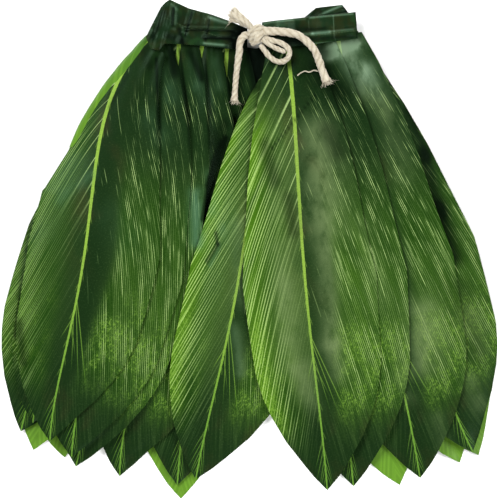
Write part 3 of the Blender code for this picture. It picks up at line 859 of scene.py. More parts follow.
def print_cloth():
    """The printed side: x and y are millimetres across and down the leaf, side and share parts of its cut."""
    material, start, surface = new_cloth("leaf_print", SATIN_ROUGHNESS, PRINT_SPECULAR, gloss=SATIN_GLOSS)
    x, y = (place * MAP_UNIT for place in start.uv("cloth"))
    across, up = start.uv("cut")
    side, share, out = abs(across * 2 - 1), 1 - up, abs(x)
    object_x, object_y = start.node("ShaderNodeTexCoord", "Object").split()
    # Each leaf's own number for how far its print opens to bright green is partly painted light: some leaves
    # are made brighter as if they caught more of the lamps.
    fresh, sheen, shade = (start.value(name) for name in ("fresh", "sheen", "shade"))
    on_right = x.rise(-0.2, 0.2)
    on_left = 1 - on_right
    down = {name: share.hump(*ends) for name, ends in STRETCHES.items()}
    y2, y3 = y * y / TYPICAL_LENGTH, y * y * y / TYPICAL_LENGTH**2
    left_line = out - (y * 0.70 - y2 * 0.42 + y3 * 0.137)
    right_line = out - (y * 0.50 - y2 * 0.31 + y3 * 0.10)

    patchy = start.cloud(x * 0.035, y * 0.022, 3.0, 3.0)
    olive_weight = patchy.rise(0.45, 0.66) * (1 - side.rise(0.2, 0.6)) * (1 - share.rise(0.4, 0.65))
    base = start.blend(olive_weight, DARK, OLIVE)
    outer = side.rise(0.15, 0.5) * 0.2 + side.rise(0.3, 0.6) * down["outer green"] * 0.25
    inner = (side.rise(0.1, 0.6) * 0.4 + 0.6) * (share.rise(0.0, 0.35) * 0.3 + 0.62)
    right_green = outer + fresh * (0.12 + side.rise(0.15, 0.7) * 0.14)
    open_green = on_left * (fresh * inner + 0.08) + on_right * right_green
    open_green = open_green * (share + on_left * 0.04 - on_right * 0.12).hump(*STRETCHES["bright green"])
    base = start.blend((open_green * (0.55 + patchy)).least(1.0), base, LEAF_GREEN)

    # Margins: a yellow-green band down the left side and a paler glow in the outer right half
    uneven = start.cloud(left_line * 0.16, y * 0.02, 9.0, 3.0)
    band = on_left * side.rise(0.5, 1.0) * down["margin"] * uneven.rise(0.22, 0.52)
    glow = on_right * side.hump(0.35, 0.6, 0.85, 1.05) * down["glow"] * uneven.rise(0.35, 0.65)
    base = start.blend(((band * 0.92 + glow * 0.22) * (fresh * 0.85 + 0.15)).least(1.0), base, MARGIN_GREEN)

    # Side veins: an even comb of fine lines on the left, with brighter ones among them
    sway = start.cloud(left_line * 0.05, y * 0.004, 1.0) * 3.0
    left_fine = combed(start, "fine", left_line, y, sway, fresh * 0.8)
    left_some = combed(start, "some", left_line, y, sway)
    bold_place = left_line / VEIN_SPACING + start.cloud(left_line * 0.15, 0.0, 5.0, 1.0) * 1.4
    left_bold = 1 - (abs(start.math("FRACT", bold_place) - 0.5) * VEIN_SPACING).rise(0.2, 0.6)
    left_ends = start.cloud(left_line / 5.0, y * 0.02, 6.0, 0.0).rise(0.25, 0.5)
    loud = (fresh * 0.6 + 0.4 + side.rise(0.6, 0.9) * 0.35).least(1.0)
    left_veins = left_fine * down["side veins"] * (side.rise(0.15, 0.75) * 0.72 + 0.12)
    left_veins = left_veins.most(left_some * down["side veins"] * (side.rise(0.05, 0.4) * 0.3 + 0.25)) * loud
    left_veins = left_veins.most(left_bold * left_ends * down["bold veins"] * (0.8 - side * 0.2))

    # Streaks on the right half: short dashes in clusters at the top, then longer and closer
    drift = start.cloud(right_line * 0.05, y * 0.004, 3.0) * 3.0
    clusters = start.cloud(right_line / 5.0, y * 0.03, 4.0, 3.0, 0.6).rise(0.42, 0.58)
    dashes = combed(start, "dashes", right_line, y, drift)
    longer = combed(start, "longer", right_line, y, drift)
    columns = start.cloud(right_line / 10.0, y * 0.008, 14.0).rise(0.40, 0.56)
    clusters = clusters * (columns * 0.7 + 0.3)
    out_there = (side + share.rise(0.5, 0.75) * 0.1).rise(0.34, 0.54)
    right_veins = dashes * (clusters * 0.9 + 0.1) * out_there * down["dashes"]
    right_veins = right_veins.most(longer * out_there * down["long streaks"] * (0.32 + clusters * 0.68))
    lone = combed(start, "lone", right_line, y, drift)
    right_veins = right_veins.most(lone * side.hump(0.05, 0.12, 0.3, 0.5) * down["lone streaks"] * 0.55)
    veins = (on_left * left_veins + on_right * right_veins).least(1.0)
    lined = on_left * down["side veins"] * side.rise(0.1, 0.6) * 0.58
    lined = lined + on_right * out_there * down["deep lines"] * 0.55
    base = start.blend(lined * (1 - veins), base, LINE_DEEP)
    base = start.blend(veins * 0.95, base, STREAK)

    # A speckled patch above the dark tip, and the one white fleck of the print
    speck = start.cloud(x * 1.4, y * 0.5, 2.5, 2.0, 0.6).rise(0.48, 0.62)
    patches = start.cloud(x * 0.06, y * 0.035, 12.0, 6.0, 0.7).rise(0.42, 0.54)
    mottle = patches * down["mottle"] * side.hump(0.2, 0.5, 0.95, 1.1) * (0.35 + on_right * 0.6)
    mottle = mottle.most(on_left * side.rise(0.62, 0.9) * down["left mottle"] * fresh)
    base = start.blend(mottle * (0.10 + speck * 0.6), base, SPECKLE)
    off_x, off_y = x - FLECK_PLACE[0], y - FLECK_PLACE[1]
    fleck = start.math("SQRT", off_x * off_x + off_y * off_y)
    base = start.blend((1 - fleck.rise(0.2, 0.55)) * 0.5, base, FLECK)

    # Dark tip, with the veins just showing in it
    frayed = start.cloud((on_left * left_line + on_right * right_line) * 0.30, y * 0.03, 60.0, 4.0, 0.7)
    reached = share + (frayed - 0.5) * 0.22
    tip = (on_left * reached.rise(0.82, 0.98) + on_right * reached.rise(0.80, 0.93)) * (0.85 - veins * 0.2)
    base = start.blend(tip, base, start.blend(patchy.rise(0.48, 0.62) * 0.7, DARK, OLIVE))
    faint = start.cloud((out - y * 0.2) / 1.1, y * 0.02, 40.0, 1.0).rise(0.5, 0.66)
    base = start.blend(faint * down["tip lines"] * 0.07, base, STREAK)

    # Midrib, with small barbs, and the veins that fork from it
    ragged = start.cloud(x * 0.3, y * 0.3, 7.0) - 0.5
    rib = 1 - (out + ragged * 0.5).rise(1.4 - share, 1.8 - share)
    step = start.math("FRACT", (y + on_right * 9.0) / BARB_SPACING) * BARB_SPACING
    barb = 1 - abs(out - 1.1 - step * 0.22).rise(0.12, 0.42)
    rib = rib.most(barb * (1 - step.rise(4.0, 7.0)) * down["barbs"] * 0.5)
    length = y / share.most(0.02)
    for way, leaves_at, slope, ends_at, half in FORKS:
        run = y - length * leaves_at
        line = 1 - abs(x * way - run * slope).rise(half * 0.3, half * 1.5)
        fading = min(0.1, (ends_at - leaves_at) * 0.6)
        stretch = share.hump(leaves_at, leaves_at + 0.004, ends_at - fading, ends_at + 0.001)
        rib = rib.most(line * stretch * 0.72)
    base = start.blend(rib, base, start.blend(share.rise(0.45, 1.0), LIME, LOW_LIME))

    # A fine unevenness of the dye
    grain = start.cloud(x * 0.8, y * 0.8, 50.0, 4.0, 0.7)
    base = start.blend((1 - grain.rise(0.3, 0.55)) * 0.22, base, DARK)
    base = start.blend(grain.rise(0.52, 0.75) * 0.16, base, STREAK)

    # Painted sheen in uneven patches, and painted shade in the folds and along the right margins of the left
    # group, where they lie under others near the waist
    light = start.blend(object_y.rise(0.11, 0.14), WARM_SHEEN, PALE_SHEEN)
    light = start.blend(object_x.rise(-0.04, 0.02), COOL_SHEEN, light)
    broken = start.cloud(x * 0.09, y * 0.05, 17.0, 4.0, 0.6)
    base = start.blend((sheen * broken.rise(0.1, 0.6) * 0.8).least(0.75), base, light)
    left_group = 1 - object_x.rise(-0.02, 0.01)
    right_margin_shadow = on_right * side.rise(0.90, 0.99) * (1 - share.rise(0.16, 0.3)) * left_group * 0.75
    base = start.blend(shade.most(right_margin_shadow).least(0.95), base, FOLD_SHADOW)
    join_up(surface, "Base Color", developed(base))
    emboss(surface, start.cloud(x * 5, y * 5, detail=1.0), WEAVE_DEPTH)
    return material


leaf_print = print_cloth()

BACK_ROWS = np.linspace(0, 1, 61)
BACK_COLUMNS = np.linspace(-1, 1, 21)
BACK_SOLID_COLUMNS = np.linspace(-1, 1, 7)
# how far the hidden print opens to green, partly painted light as on the front leaves
BACK_OPEN_AND_LIT = 0.5
BACK_SHADE = 0.2
BACK_SHADE_REACH = 200.0
BACK_SOFTENING = 3


def leaf_grid(leaf, solid_columns, rows, columns):
    """The leaf's plan at fine rows and columns, and the height of its solid's underside there."""
    heights = solid_heights(leaf["name"], leaf_plan(leaf, SOLID_ROWS, solid_columns)[0])
    return *leaf_plan(leaf, rows, columns), finer(heights, SOLID_ROWS, solid_columns, rows, columns)


for number, row in enumerate(BACK_LEAVES):
    leaf = dict(zip(LEAF_COLUMNS, row))
    plan, reach, along, low = leaf_grid(leaf, BACK_SOLID_COLUMNS, BACK_ROWS, BACK_COLUMNS)
    low = settled(plan, softened(low, BACK_SOFTENING) + LIFT) if number else low + LIFT
    over = at_height(plan, low + WALL)
    piece = cloth_wall(leaf["name"] + "_cloth", at_height(plan, low), over, underside, leaf_print)
    # Painted shade: they darken towards the waist, where the front leaves lie close over them
    shade = np.clip(plan[..., 1] / BACK_SHADE_REACH + BACK_SHADE, 0, 1)
    leaf_maps(piece, BACK_COLUMNS, reach, along, sheen=0.0, shade=shade, fresh=BACK_OPEN_AND_LIT)
    declare_leaf(leaf, along)
    pile.add(over)


# Waistband
# A casing of the same satin, gathered by the drawstring in it: a strip folded at its top edge, whose two
# sides enclose the leaves' tops. The back half shows its inner side, darkened by painted shade, between the
# two fronts and above the right one.
BAND_BACK = (
    # top edge x, y, bottom edge x, y
    (-66, 188, -76, 164), (-50, 178, -58, 155), (-27, 166, -33, 144), (6, 161, 4, 131), (30, 168, 34, 144),
    (45, 186, 50, 158), (54, 193.5, 60, 161), (75, 196, 76, 163), (80, 189.5, 84, 165),
)
BAND_LEFT = (
    (-69.4, 193.3, -81.3, 168.5), (-66, 197, -77.5, 159.5), (-62.7, 199.4, -71, 158),
    (-57, 196.8, -66.5, 163.5), (-47, 192.2, -54, 163.3), (-38, 189.8, -43, 162.5),
    (-29.6, 187.7, -34, 161.8), (-16.3, 183.1, -18.1, 160.3), (-0.9, 176.7, -0.9, 159.1),
)
BAND_RIGHT = (
    (10.7, 181.5, 10.7, 159.1), (24, 182.9, 24, 160.5), (37, 184.2, 38, 161.8), (50, 185.6, 52, 163.4),
    (68, 187.6, 69, 165.8), (85.4, 189.7, 86.7, 168),
)
BAND_ROWS = (0.0, 0.28, 0.52, 0.66, 0.82, 1.0)
BAND_BACK_ROWS = (0.0, 0.5, 1.0)
BAND_THICK = 2.1
BAND_LEAST = 0.9
BAND_BEND = 0.05
FOLD_INSET = WALL / 24
BAND_COUNT = 121
BAND_SHARES = np.linspace(BAND_BEND, 1.0, 33)
BAND_DARK = seen(28, 48, 28)
BAND_OLIVE = seen(42, 50, 28)
BAND_GREEN = seen(38, 66, 36)
BAND_LIT = seen(140, 176, 150)
BAND_SHADOW = seen(10, 14, 12)
STITCH = seen(96, 120, 84)
STITCH_ROW = 15.4
STITCH_LENGTH = 2.3
BAND_SPECULAR = 0.10
BAND_RELIEF = 0.00012
BACK_SIDE_SHADE = 0.2
TOP_FOLD = np.radians((-60, -30, 0, 30, 60))[:, None]


def band_cloth():
    """Dark satin with a broken sheen on its ridges and one row of stitches below the drawstring."""
    material, start, surface = new_cloth("waistband_cloth", SATIN_ROUGHNESS, BAND_SPECULAR, gloss=SATIN_GLOSS)
    x, y = (place * MAP_UNIT for place in start.uv("cloth"))
    patchy = start.cloud(x * 0.11, y * 0.06, 3.0, 3.0)
    base = start.blend(patchy.rise(0.4, 0.62), BAND_DARK, BAND_OLIVE)
    greener = start.cloud(x * 0.14, y * 0.1, 8.0)
    base = start.blend(greener.rise(0.5, 0.7) * 0.8, base, BAND_GREEN)
    grain = start.cloud(x * 0.5, y * 2.4, 0.0, 3.0, 0.6)
    base = start.blend((start.value("sheen") * (grain * 0.9 + 0.5)).least(0.95), base, BAND_LIT)
    row = 1 - abs(y - STITCH_ROW).rise(0.16, 0.34)
    dash = start.math("FRACT", x / STITCH_LENGTH)
    base = start.blend(row * dash.hump(0.1, 0.2, 0.75, 0.85) * 0.6, base, STITCH)
    base = start.blend(start.value("shade").least(1.0), base, BAND_SHADOW)
    join_up(surface, "Base Color", developed(base))
    emboss(surface, grain * 0.6 + start.cloud(x * 5, y * 5, detail=1.0) * 0.4, BAND_RELIEF)
    return material


dark_satin = band_cloth()


def make_band(name, edges, rows, creases, sheen, shade, rests_on):
    """A length of the casing: the back side, the fold at the top edge and the front side in one thin wall."""
    edges = np.array(edges, float)
    numbers = np.arange(len(edges))
    spots = np.linspace(0, numbers[-1], BAND_COUNT)
    half_steps = np.arange(2 * len(edges) - 1) / 2
    fine, coarse = (
        np.stack([np.interp(places, numbers, edges[:, k]) for k in range(4)], axis=1)
        for places in (spots, half_steps)
    )

    def plan_at(stations, shares):
        shares = np.asarray(shares)[:, None, None]
        return stations[None, :, :2] * (1 - shares) + stations[None, :, 2:] * shares - MIDDLE

    heights = solid_heights(name, plan_at(coarse, rows))
    plan = plan_at(fine, BAND_SHARES)
    low = settled(plan, finer(heights, rows, half_steps, BAND_SHARES, spots) + LIFT)
    front = np.maximum(softened(low, 2) + BAND_THICK + marks(plan, creases), low + BAND_LEAST)
    middle, half = (front[0] + low[0]) / 2, (front[0] - low[0]) / 2
    turn = np.cos(TOP_FOLD[:, 0])
    outer_shares, inner_shares = (
        np.concatenate([BAND_SHARES[::-1], fold, BAND_SHARES])
        for fold in (BAND_BEND * (1 - turn), BAND_BEND - (BAND_BEND - FOLD_INSET) * turn)
    )

    def face(shares, wall):
        bend = middle + (half - wall) * np.sin(TOP_FOLD)
        return at_height(plan_at(fine, shares), np.concatenate([low[::-1] + wall, bend, front - wall]))

    outer, inner = face(outer_shares, 0), face(inner_shares, WALL)
    piece = cloth_wall(name + "_cloth", inner, outer, dark_satin, dark_satin)
    length = distance_along(plan[0])
    deep = np.linalg.norm(plan[-1] - plan[0], axis=1) / (1 - BAND_BEND)
    down = outer_shares[:, None] * deep[None]
    cloth = np.stack([np.broadcast_to(length, down.shape), down], axis=-1).reshape(-1, 2) / MAP_UNIT
    corner_map(piece, "cloth", np.tile(cloth, (2, 1)))
    is_front = (np.arange(len(outer_shares)) >= len(BAND_SHARES))[:, None]
    for label, lines, behind in (("sheen", sheen, 0.0), ("shade", shade, BACK_SIDE_SHADE)):
        value = np.where(is_front, np.clip(marks(outer, lines), 0, 1), behind)
        point_value(piece, label, np.tile(value.ravel(), 2))
    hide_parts(name)
    pile.add(outer[len(BAND_SHARES) :])


make_band(
    "waistband_back", BAND_BACK, BAND_BACK_ROWS,
    creases=((57.8, 188, 75, 195.4, 1.6, 1.3), (60, 185.6, 76, 191, 1.6, -0.7), (50, 186, 56, 192, 2, -0.5)),
    sheen=((58.5, 188.4, 74.6, 195.4, 1, 0.75), (62, 186.6, 74, 190, 2, 0.12)),
    shade=(
        (4, 160, 5, 120, 14, 0.95), (47, 183, 56, 191, 4, 0.45), (76, 194.5, 79.5, 188, 2, 0.7),
        (60, 185, 76, 190.5, 1.2, 0.6), (-60, 170, -10, 155, 14, 0.7),
    ),
    rests_on=["back_leaf_1_cloth"],
)


# Front leaves
# Twelve panels of the same cut with the print up: a lime midrib, straight side veins, broken streaks along
# the right half and a dark tip. The left group lies on each other from the second to the fifth, and the
# right group likewise.
FRONT_LEAVES = (
    ("front_leaf_1", -64, 168, -182, -145, -1, -5, -8, 44, 54, -0.24, 0.16),
    ("front_leaf_2", -63, 168, -172, -138, -1, 2, -2, 44, 49, -0.18, 0.00),
    ("front_leaf_7", -17, 166, -57, -188, 2, 1, -2, 49, 50, -0.03, 0.00),
    ("front_leaf_6", -36, 166, -103, -181, 1, 6, 2, 45, 55, -0.13, 0.15),
    ("front_leaf_5", -55, 167, -138, -173, 5, 8, 4, 50, 51, 0.09, 0.03),
    ("front_leaf_8", 41, 164, -42, -183, -10, -10, -2, 38, 56, 0.50, 0.17),
    ("front_leaf_4", -77, 167, -141, -165, 6, 9, 1, 49, 54, 0.00, 0.16),
    ("front_leaf_3", -79, 168, -158, -152, -16, -17, -6, 45, 59, 0.07, -0.25),
    ("front_leaf_12", 72, 172, 179, -161, -3, -2, -3, 46, 54, -0.10, 0.10),
    ("front_leaf_11", 71, 171, 137, -182, -2, -4, -2, 51, 61, 0.05, -0.11),
    ("front_leaf_10", 52, 169, 84, -189, 1, 3, 2, 48, 53, -0.04, 0.09),
    ("front_leaf_9", 30, 166, 63, -192, 1, -1, -2, 49, 56, -0.02, -0.05),
)
LEFT_SIDES = {
    # leaves whose left side leaves the cut's: a corner drawn in by its seam (share of the length, share of
    # the half width), and a margin turned over (share of the length, distance of the fold from the midrib)
    "front_leaf_4": {"drawn_in": ((0, 0.1), (0.03, 0.25), (0.14, 1))},
    "front_leaf_3": {
        "fold": ((0, 3), (0.05, 3), (0.11, 6), (0.18, 11.7), (0.25, 18.9), (0.31, 23.8), (0.40, 38.2)),
    },
}
TURNED_WIDTH = (
    (0.0, 5.2), (0.05, 5.4), (0.11, 8.4), (0.147, 9.8), (0.18, 9.4), (0.25, 8.0), (0.30, 2.0), (0.31, 0.0),
)
LEAF_SHEEN = (
    # x, y, x, y, half width, strength: where the satin throws the lamps' light back
    (54, 92, 60, 20, 16, 0.8), (-23.5, 3, -31.5, -12, 1.6, 0.6), (-22, 18, -20, 8, 4, 0.4),
    (24, 0, 32, -90, 9, 0.4), (20, 70, 22, 30, 8, 0.25), (92, 20, 104, -40, 10, 0.25),
    (60, -2, 66, -72, 9, 0.65), (64, -78, 72, -98, 9, 0.55), (138, -50, 140, -88, 14, 0.75),
    (174, -50, 182, -80, 9, 0.4), (-112, 28, -100, 10, 15, 0.14), (-43, 44, -42, 6, 6, 0.85),
    (-32, 60, -30, 30, 5, 0.35), (56, 154, 68, 159, 5, 1), (68, 159, 86, 164, 6, 1.2),
    (76, 152, 90, 146, 7, 0.35), (82, 146, 92, 124, 9, 0.5), (94, 142, 108, 112, 8, 0.55),
    (-27, 150, -24, 130, 4, 0.35), (-46, 150, -43, 130, 5, 0.25), (38, -96, 44, -118, 7, 0.5),
    (-12, -62, -7, -98, 5, 0.4), (176, -104, 184, -124, 8, 0.4), (121, -100, 127, -118, 7, 0.3),
    (-66, 140, -62, 120, 7, 0.35), (-40, 136, -34, 118, 7, 0.28), (-78, 104, -70, 90, 9, 0.25),
    (-126, 60, -150, 40, 5, 0.4), (112, 100, 122, 60, 10, 0.3), (56, 150, 66, 152, 3, 0.45),
    (30, -30, 34, -70, 12, 0.25), (-10, 20, -6, -40, 8, 0.3), (46, -92, 50, -124, 8, 0.28),
    (150, -134, 156, -162, 7, 0.28), (-9, -68, -7, -98, 4, 0.2),
)
LEAF_SHADE = (
    # x, y, x, y, half width, strength: what lies in the shadow of a fold or of the leaf above it
    (-19, 89, -28, 68, 2.6, 0.95), (-26, 77, -33, 51, 1.8, 0.95), (-32.5, 56, -37.5, 24, 1.3, 0.9),
    (-1, 160, 4, 129, 3, 0.5), (52, 123, 18, 81, 0.9, 0.45), (-27, 14, -25.4, 4, 1.3, 0.5),
    (-25.4, 4, -34.2, -9.9, 1.5, 0.5), (-74, 152, -72, 96, 1.2, 0.7), (-56, 160, -48, 104, 1, 0.65),
    (-36, 156, -31, 108, 1, 0.65), (-62, 158, -60, 140, 4, 0.6), (-84, 158, -80, 146, 4, 0.4),
    (-48, 158, -38, 136, 3, 0.6), (20, 152, 32, 148, 6, 0.5), (-15, 148, -9, 124, 4, 0.4),
    (40, 162, 60, 158, 5, 0.45), (-96, 140, -112, 112, 1.4, 0.3), (-20, 100, -30, 84, 5, 0.45),
    (54, 146, 72, 124, 12, 0.5), (62, 96, 70, 78, 7, 0.35), (12, 84, 20, 54, 6, 0.35),
    (31, 42, 35, 14, 5, 0.35), (168, -30, 182, -80, 11, 0.2),
)
UNDER_MARGIN = {
    # painted shadow as in the table above, on one leaf alone, along the margin of the leaf that lies on it
    "front_leaf_12": (
        (126, 112, 141, 74, 4.0, 0.55), (139, 76, 151, 30, 6.0, 0.65), (151, 32, 163, -6, 7.0, 0.75),
    ),
    "front_leaf_6": ((-22, 84, -31, 52, 3.5, 0.9), (-31, 54, -38, 20, 3.0, 0.9)),
    "front_leaf_2": (
        (-174, 22, -178, 0, 2.0, 0.4), (-178, 0, -184, -38, 2.2, 0.55), (-184, -38, -187, -70, 2.2, 0.6),
    ),
    "front_leaf_3": ((-184, -58, -180, -90, 4.0, 0.45),),
    "front_leaf_1": ((-174, 22, -178, 0, 2.0, 0.4), (-178, 0, -184, -38, 2.2, 0.4)),
}
OPEN_AND_LIT = {
    # how far the print opens from dark to bright green, leaf by leaf; partly painted light, brighter on
    # leaves whose satin catches more of the lamps
    "front_leaf_1": 0.25, "front_leaf_2": 0.3, "front_leaf_3": 0.16, "front_leaf_4": 0.3,
    "front_leaf_5": 0.42,
    "front_leaf_6": 0.5, "front_leaf_7": 0.8, "front_leaf_8": 0.9, "front_leaf_9": 1.0, "front_leaf_10": 0.35,
    "front_leaf_11": 0.25, "front_leaf_12": 0.15,
}
FRONT_ROWS = np.linspace(0, 1, 121)
FRONT_COLUMNS = np.linspace(-1, 1, 61)
FRONT_SOLID_COLUMNS = np.linspace(-1, 1, 9)
GATHERS = (
    # place across (-1 to 1), half width, height (mm), share of the leaf over which it fades
    (-0.72, 0.16, 0.8, 0.16), (-0.30, 0.13, 0.6, 0.22), (0.08, 0.15, 0.9, 0.14), (0.46, 0.13, 0.7, 0.20),
    (0.84, 0.13, 0.9, 0.26),
)
FRONT_SOFTENING = 4
MARGIN_CURL = 0.5
MARGIN_POWER = 8
MARGIN_WAVE = 31.0
LEFT_GROUP = 8  # so many rows from the first on lie in the left group
TOP_CURL = {"left": 1.6, "right": 0.3}
TOP_CURL_AT = 0.14
TOP_CURL_POWER = 6
VALLEY_SHADE = 0.6
VALLEY_FADE = 0.11
VALLEY_POWER = 2.5
DARKEST = 0.92
RIPPLE_SIZE = 14.0
RIPPLE_HEIGHT = 0.22


def gathered(rows, columns, number):
    """The pleats that the waistband gathers into a leaf's top, a little different on each leaf."""
    total = np.zeros((len(rows), len(columns)))
    for k, (place, half, height, fade) in enumerate(GATHERS):
        sway = 0.06 * math.sin(number * 2.1 + k * 1.7)
        reach = fade * (1 + 0.35 * math.sin(number * 1.3 + k))
        across = np.exp(-(((columns - place - sway) / half) ** 2))
        fading = np.exp(-(rows / reach) ** 2)[:, None]
        total += height * (1 + 0.4 * math.sin(number + 2.3 * k)) * fading * across
    return total


TURNED_SECTION = (
    # share of the margin's width, distance inwards, height over the leaf's edge, the outer side's offset
    # aside and up
    (1.00, 0.00, 0.45, 0.00, 0.32),
    (0.75, 0.00, 0.75, 0.00, 0.34),
    (0.45, 0.00, 0.95, 0.00, 0.34),
    (0.20, 0.30, 1.00, 0.00, 0.34),
    (0.00, 0.45, 0.85, -0.12, 0.30),
    (0.00, 0.05, 0.45, -0.30, 0.14),
    (0.00, -0.05, 0.00, -0.34, 0.00),
    (0.00, 0.15, -0.38, -0.20, -0.24),
    (0.00, 1.20, -0.62, 0.00, -0.30),
)
TURNED_LEAST = 0.4
TURNED_ACROSS = 0.12
TURNED_SHADE = 0.75
INWARD_COLUMN = 9


def turned_margin(plan, top, along):
    """The left margin folded over onto the print, as a strip that bends round the fold."""
    width = np.interp(FRONT_ROWS, *zip(*TURNED_WIDTH))
    last = int((width > TURNED_LEAST).sum())
    edge = plan[:last, 0]
    inward = plan[:last, INWARD_COLUMN] - edge
    inward /= np.linalg.norm(inward, axis=1)[:, None]
    inner, outer = [], []
    for portion, fixed, height, aside, above in reversed(TURNED_SECTION):
        away = (width[:last] * portion + fixed)[:, None]
        inner.append(at_height(edge + inward * away, top[:last, 0] + height))
        outer.append(at_height(edge + inward * (away + aside), top[:last, 0] + height + above))
    inner, outer = np.stack(inner, axis=1), np.stack(outer, axis=1)
    strip = cloth_wall("front_leaf_3_turned_margin", inner, outer, underside, underside)
    down = np.repeat(along[:last, :1], len(TURNED_SECTION), axis=1)
    aside = np.broadcast_to(np.linspace(0, TURNED_ACROSS, len(TURNED_SECTION)), down.shape)
    corner_map(strip, "cloth", np.tile(np.stack([aside, down / MAP_UNIT], axis=-1).reshape(-1, 2), (2, 1)))
    deep = TURNED_SHADE * (1 - np.clip(down / down.max() * 1.5, 0, 1))
    point_value(strip, "shade", np.tile(deep.ravel(), 2))


for number, row in enumerate(FRONT_LEAVES):
    leaf = dict(zip(LEAF_COLUMNS, row), **LEFT_SIDES.get(row[0], {}))
    plan, reach, along, low = leaf_grid(leaf, FRONT_SOLID_COLUMNS, FRONT_ROWS, FRONT_COLUMNS)
    group = "left" if number < LEFT_GROUP else "right"
    low = softened(low, FRONT_SOFTENING) + LIFT + gathered(FRONT_ROWS, FRONT_COLUMNS, number)
    at_margin = np.abs(FRONT_COLUMNS[None])
    curl = MARGIN_CURL * at_margin**MARGIN_POWER * (1 + np.sin(along / MARGIN_WAVE + number)) / 2
    near_top = np.exp(-(((FRONT_ROWS - TOP_CURL_AT) / TOP_CURL_AT) ** 2))[:, None]
    curl = curl + TOP_CURL[group] * np.clip(FRONT_COLUMNS, 0, 1)[None] ** TOP_CURL_POWER * near_top
    low = settled(plan, low + curl + ripples(plan, RIPPLE_SIZE, RIPPLE_HEIGHT, number))
    over = at_height(plan, low + WALL)
    piece = cloth_wall(leaf["name"] + "_cloth", at_height(plan, low), over, leaf_print, underside)
    shade = marks(over, LEAF_SHADE) + marks(over, UNDER_MARGIN.get(leaf["name"], ()))
    if group == "left":
        valleys = at_margin**VALLEY_POWER * np.exp(-((FRONT_ROWS / VALLEY_FADE) ** 2))[:, None]
        shade = shade + VALLEY_SHADE * valleys
    leaf_maps(
        piece, FRONT_COLUMNS, reach, along,
        sheen=marks(over, LEAF_SHEEN), shade=np.clip(shade, 0, DARKEST), fresh=OPEN_AND_LIT[leaf["name"]],
    )
    declare_leaf(leaf, along)
    pile.add(over)
    if "fold" in leaf:
        turned_margin(plan, low + WALL, along)


# Waistband fronts
# The two front halves of the casing lie over the leaves' tops and stop short of each other, where the
# drawstring comes out of their open ends. The left one is gathered into deep uneven pleats, the right one
# is almost smooth. In the six tables below each row is a line from x, y to x, y, its half width, and its
# height or strength.
LEFT_CREASES = (
    (-47.6, 190, -52.6, 172, 1.1, 0.8), (-45.6, 189.6, -50.6, 172, 1, -0.8),
    (-33.4, 186, -36.2, 173, 1.1, 0.8), (-31.6, 185.6, -34.4, 172.6, 1, -0.8),
    (-61.6, 193.4, -62.2, 179, 1.2, 0.8), (-59.6, 193, -60.4, 178.6, 1, -0.6),
    (-66.6, 190, -69.6, 172, 2.2, 0.7), (-56, 190, -58, 168, 3, 0.5), (-52, 177, -12, 176.6, 1.3, 0.8),
    (-52, 174.6, -12, 174.4, 1, -0.8), (-34, 184.6, -17, 181, 2, 0.6), (-36, 168.8, -14, 168.4, 1.8, -1),
    (-37, 163.8, -19, 162.8, 1.5, 1), (-66, 176, -56, 172, 1.5, -0.7), (-72, 168, -60, 166, 2.2, 0.6),
    (-41, 188, -44, 166, 3, 0.4), (-24, 184, -26, 170, 2.6, 0.35),
)
LEFT_SHEEN = (
    (-32.5, 185, -17.5, 180.6, 1.5, 0.55), (-30, 183.6, -20, 181, 3, 0.16),
    (-36, 163.8, -20.5, 162.6, 1.3, 0.60), (-47, 184, -36, 181, 4, 0.06),
    (-50, 177.4, -14, 176.8, 0.9, 0.22), (-62, 195, -58, 191, 1.2, 0.4), (-31, 184.5, -34, 176, 0.7, 0.25),
    (-55, 178, -52, 172, 0.8, 0.2), (-65, 183, -66, 176, 3, 0.08), (-60, 197, -34, 188, 0.7, 0.25),
)
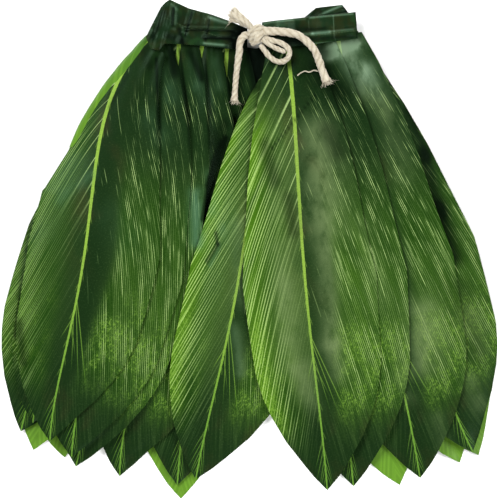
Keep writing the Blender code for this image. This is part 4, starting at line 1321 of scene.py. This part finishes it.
LEFT_SHADE = (
    (-64, 184, -40, 178, 7, 0.3), (-4, 176, -3, 158, 8.5, 1), (-12, 170, -12, 160, 5, 0.85),
    (-45.6, 189.6, -51, 170, 0.9, 0.75), (-31.8, 183, -35, 166, 0.8, 0.6), (-60.4, 192, -61.4, 178, 0.9, 0.6),
    (-68.5, 188, -77, 168, 2.4, 0.6), (-36, 168.6, -12, 168.2, 1.6, 0.9), (-66, 170, -54, 166, 3, 0.55),
    (-50, 174.4, -12, 174.2, 0.8, 0.5), (-37, 160.4, -18, 159.6, 1.2, 0.8), (-56, 175, -53, 163, 1.6, 0.6),
    (-70, 160, -60, 158, 3, 0.5),
)
RIGHT_CREASES = (
    (11, 179.4, 84, 187.6, 1.8, 0.4), (36, 170, 84, 174.8, 1.4, 0.8), (36, 172.4, 84, 177.2, 1.1, -0.7),
    (48, 163.2, 66, 164.4, 1.2, 0.8), (46, 166.4, 84, 170, 1.8, -0.5), (65.9, 187, 67.3, 165, 0.5, -0.35),
    (46.4, 184, 47, 166, 0.5, -0.2), (74, 184, 77, 172, 4, 0.3), (24, 178, 52, 178, 4, -0.3),
)
RIGHT_SHEEN = (
    (12, 180.6, 44, 183.6, 0.9, 0.32), (48, 184.4, 82, 187.8, 0.8, 0.55), (38, 170.4, 50, 171.4, 1.1, 0.40),
    (50, 171.6, 63, 172.8, 1.5, 0.62), (64, 173.2, 82, 175, 0.9, 0.38), (52, 163.4, 65, 164.4, 0.8, 0.5),
    (66.4, 186, 67.4, 168, 0.4, 0.35), (50, 181, 62, 180, 4, 0.05), (12, 178.6, 28, 179.6, 2.2, 0.16),
    (22, 181.6, 34, 182.8, 0.8, 0.35), (46.6, 182, 47.2, 172, 0.3, 0.2),
)
RIGHT_SHADE = (
    (85.6, 188.6, 86.6, 168, 1.5, 0.9), (16, 166, 40, 165, 5, 0.85), (38, 174.2, 60, 176, 1.6, 0.35),
    (46, 166.6, 82, 169.6, 1.4, 0.45), (30, 176, 46, 176, 3, 0.3), (46, 162, 66, 162.8, 0.7, 0.5),
)

left_looks = (LEFT_CREASES, LEFT_SHEEN, LEFT_SHADE)
right_looks = (RIGHT_CREASES, RIGHT_SHEEN, RIGHT_SHADE)
make_band("waistband_left", BAND_LEFT, BAND_ROWS, *left_looks, ["front_leaf_4_cloth"])
make_band("waistband_right", BAND_RIGHT, BAND_ROWS, *right_looks, ["front_leaf_10_cloth"])
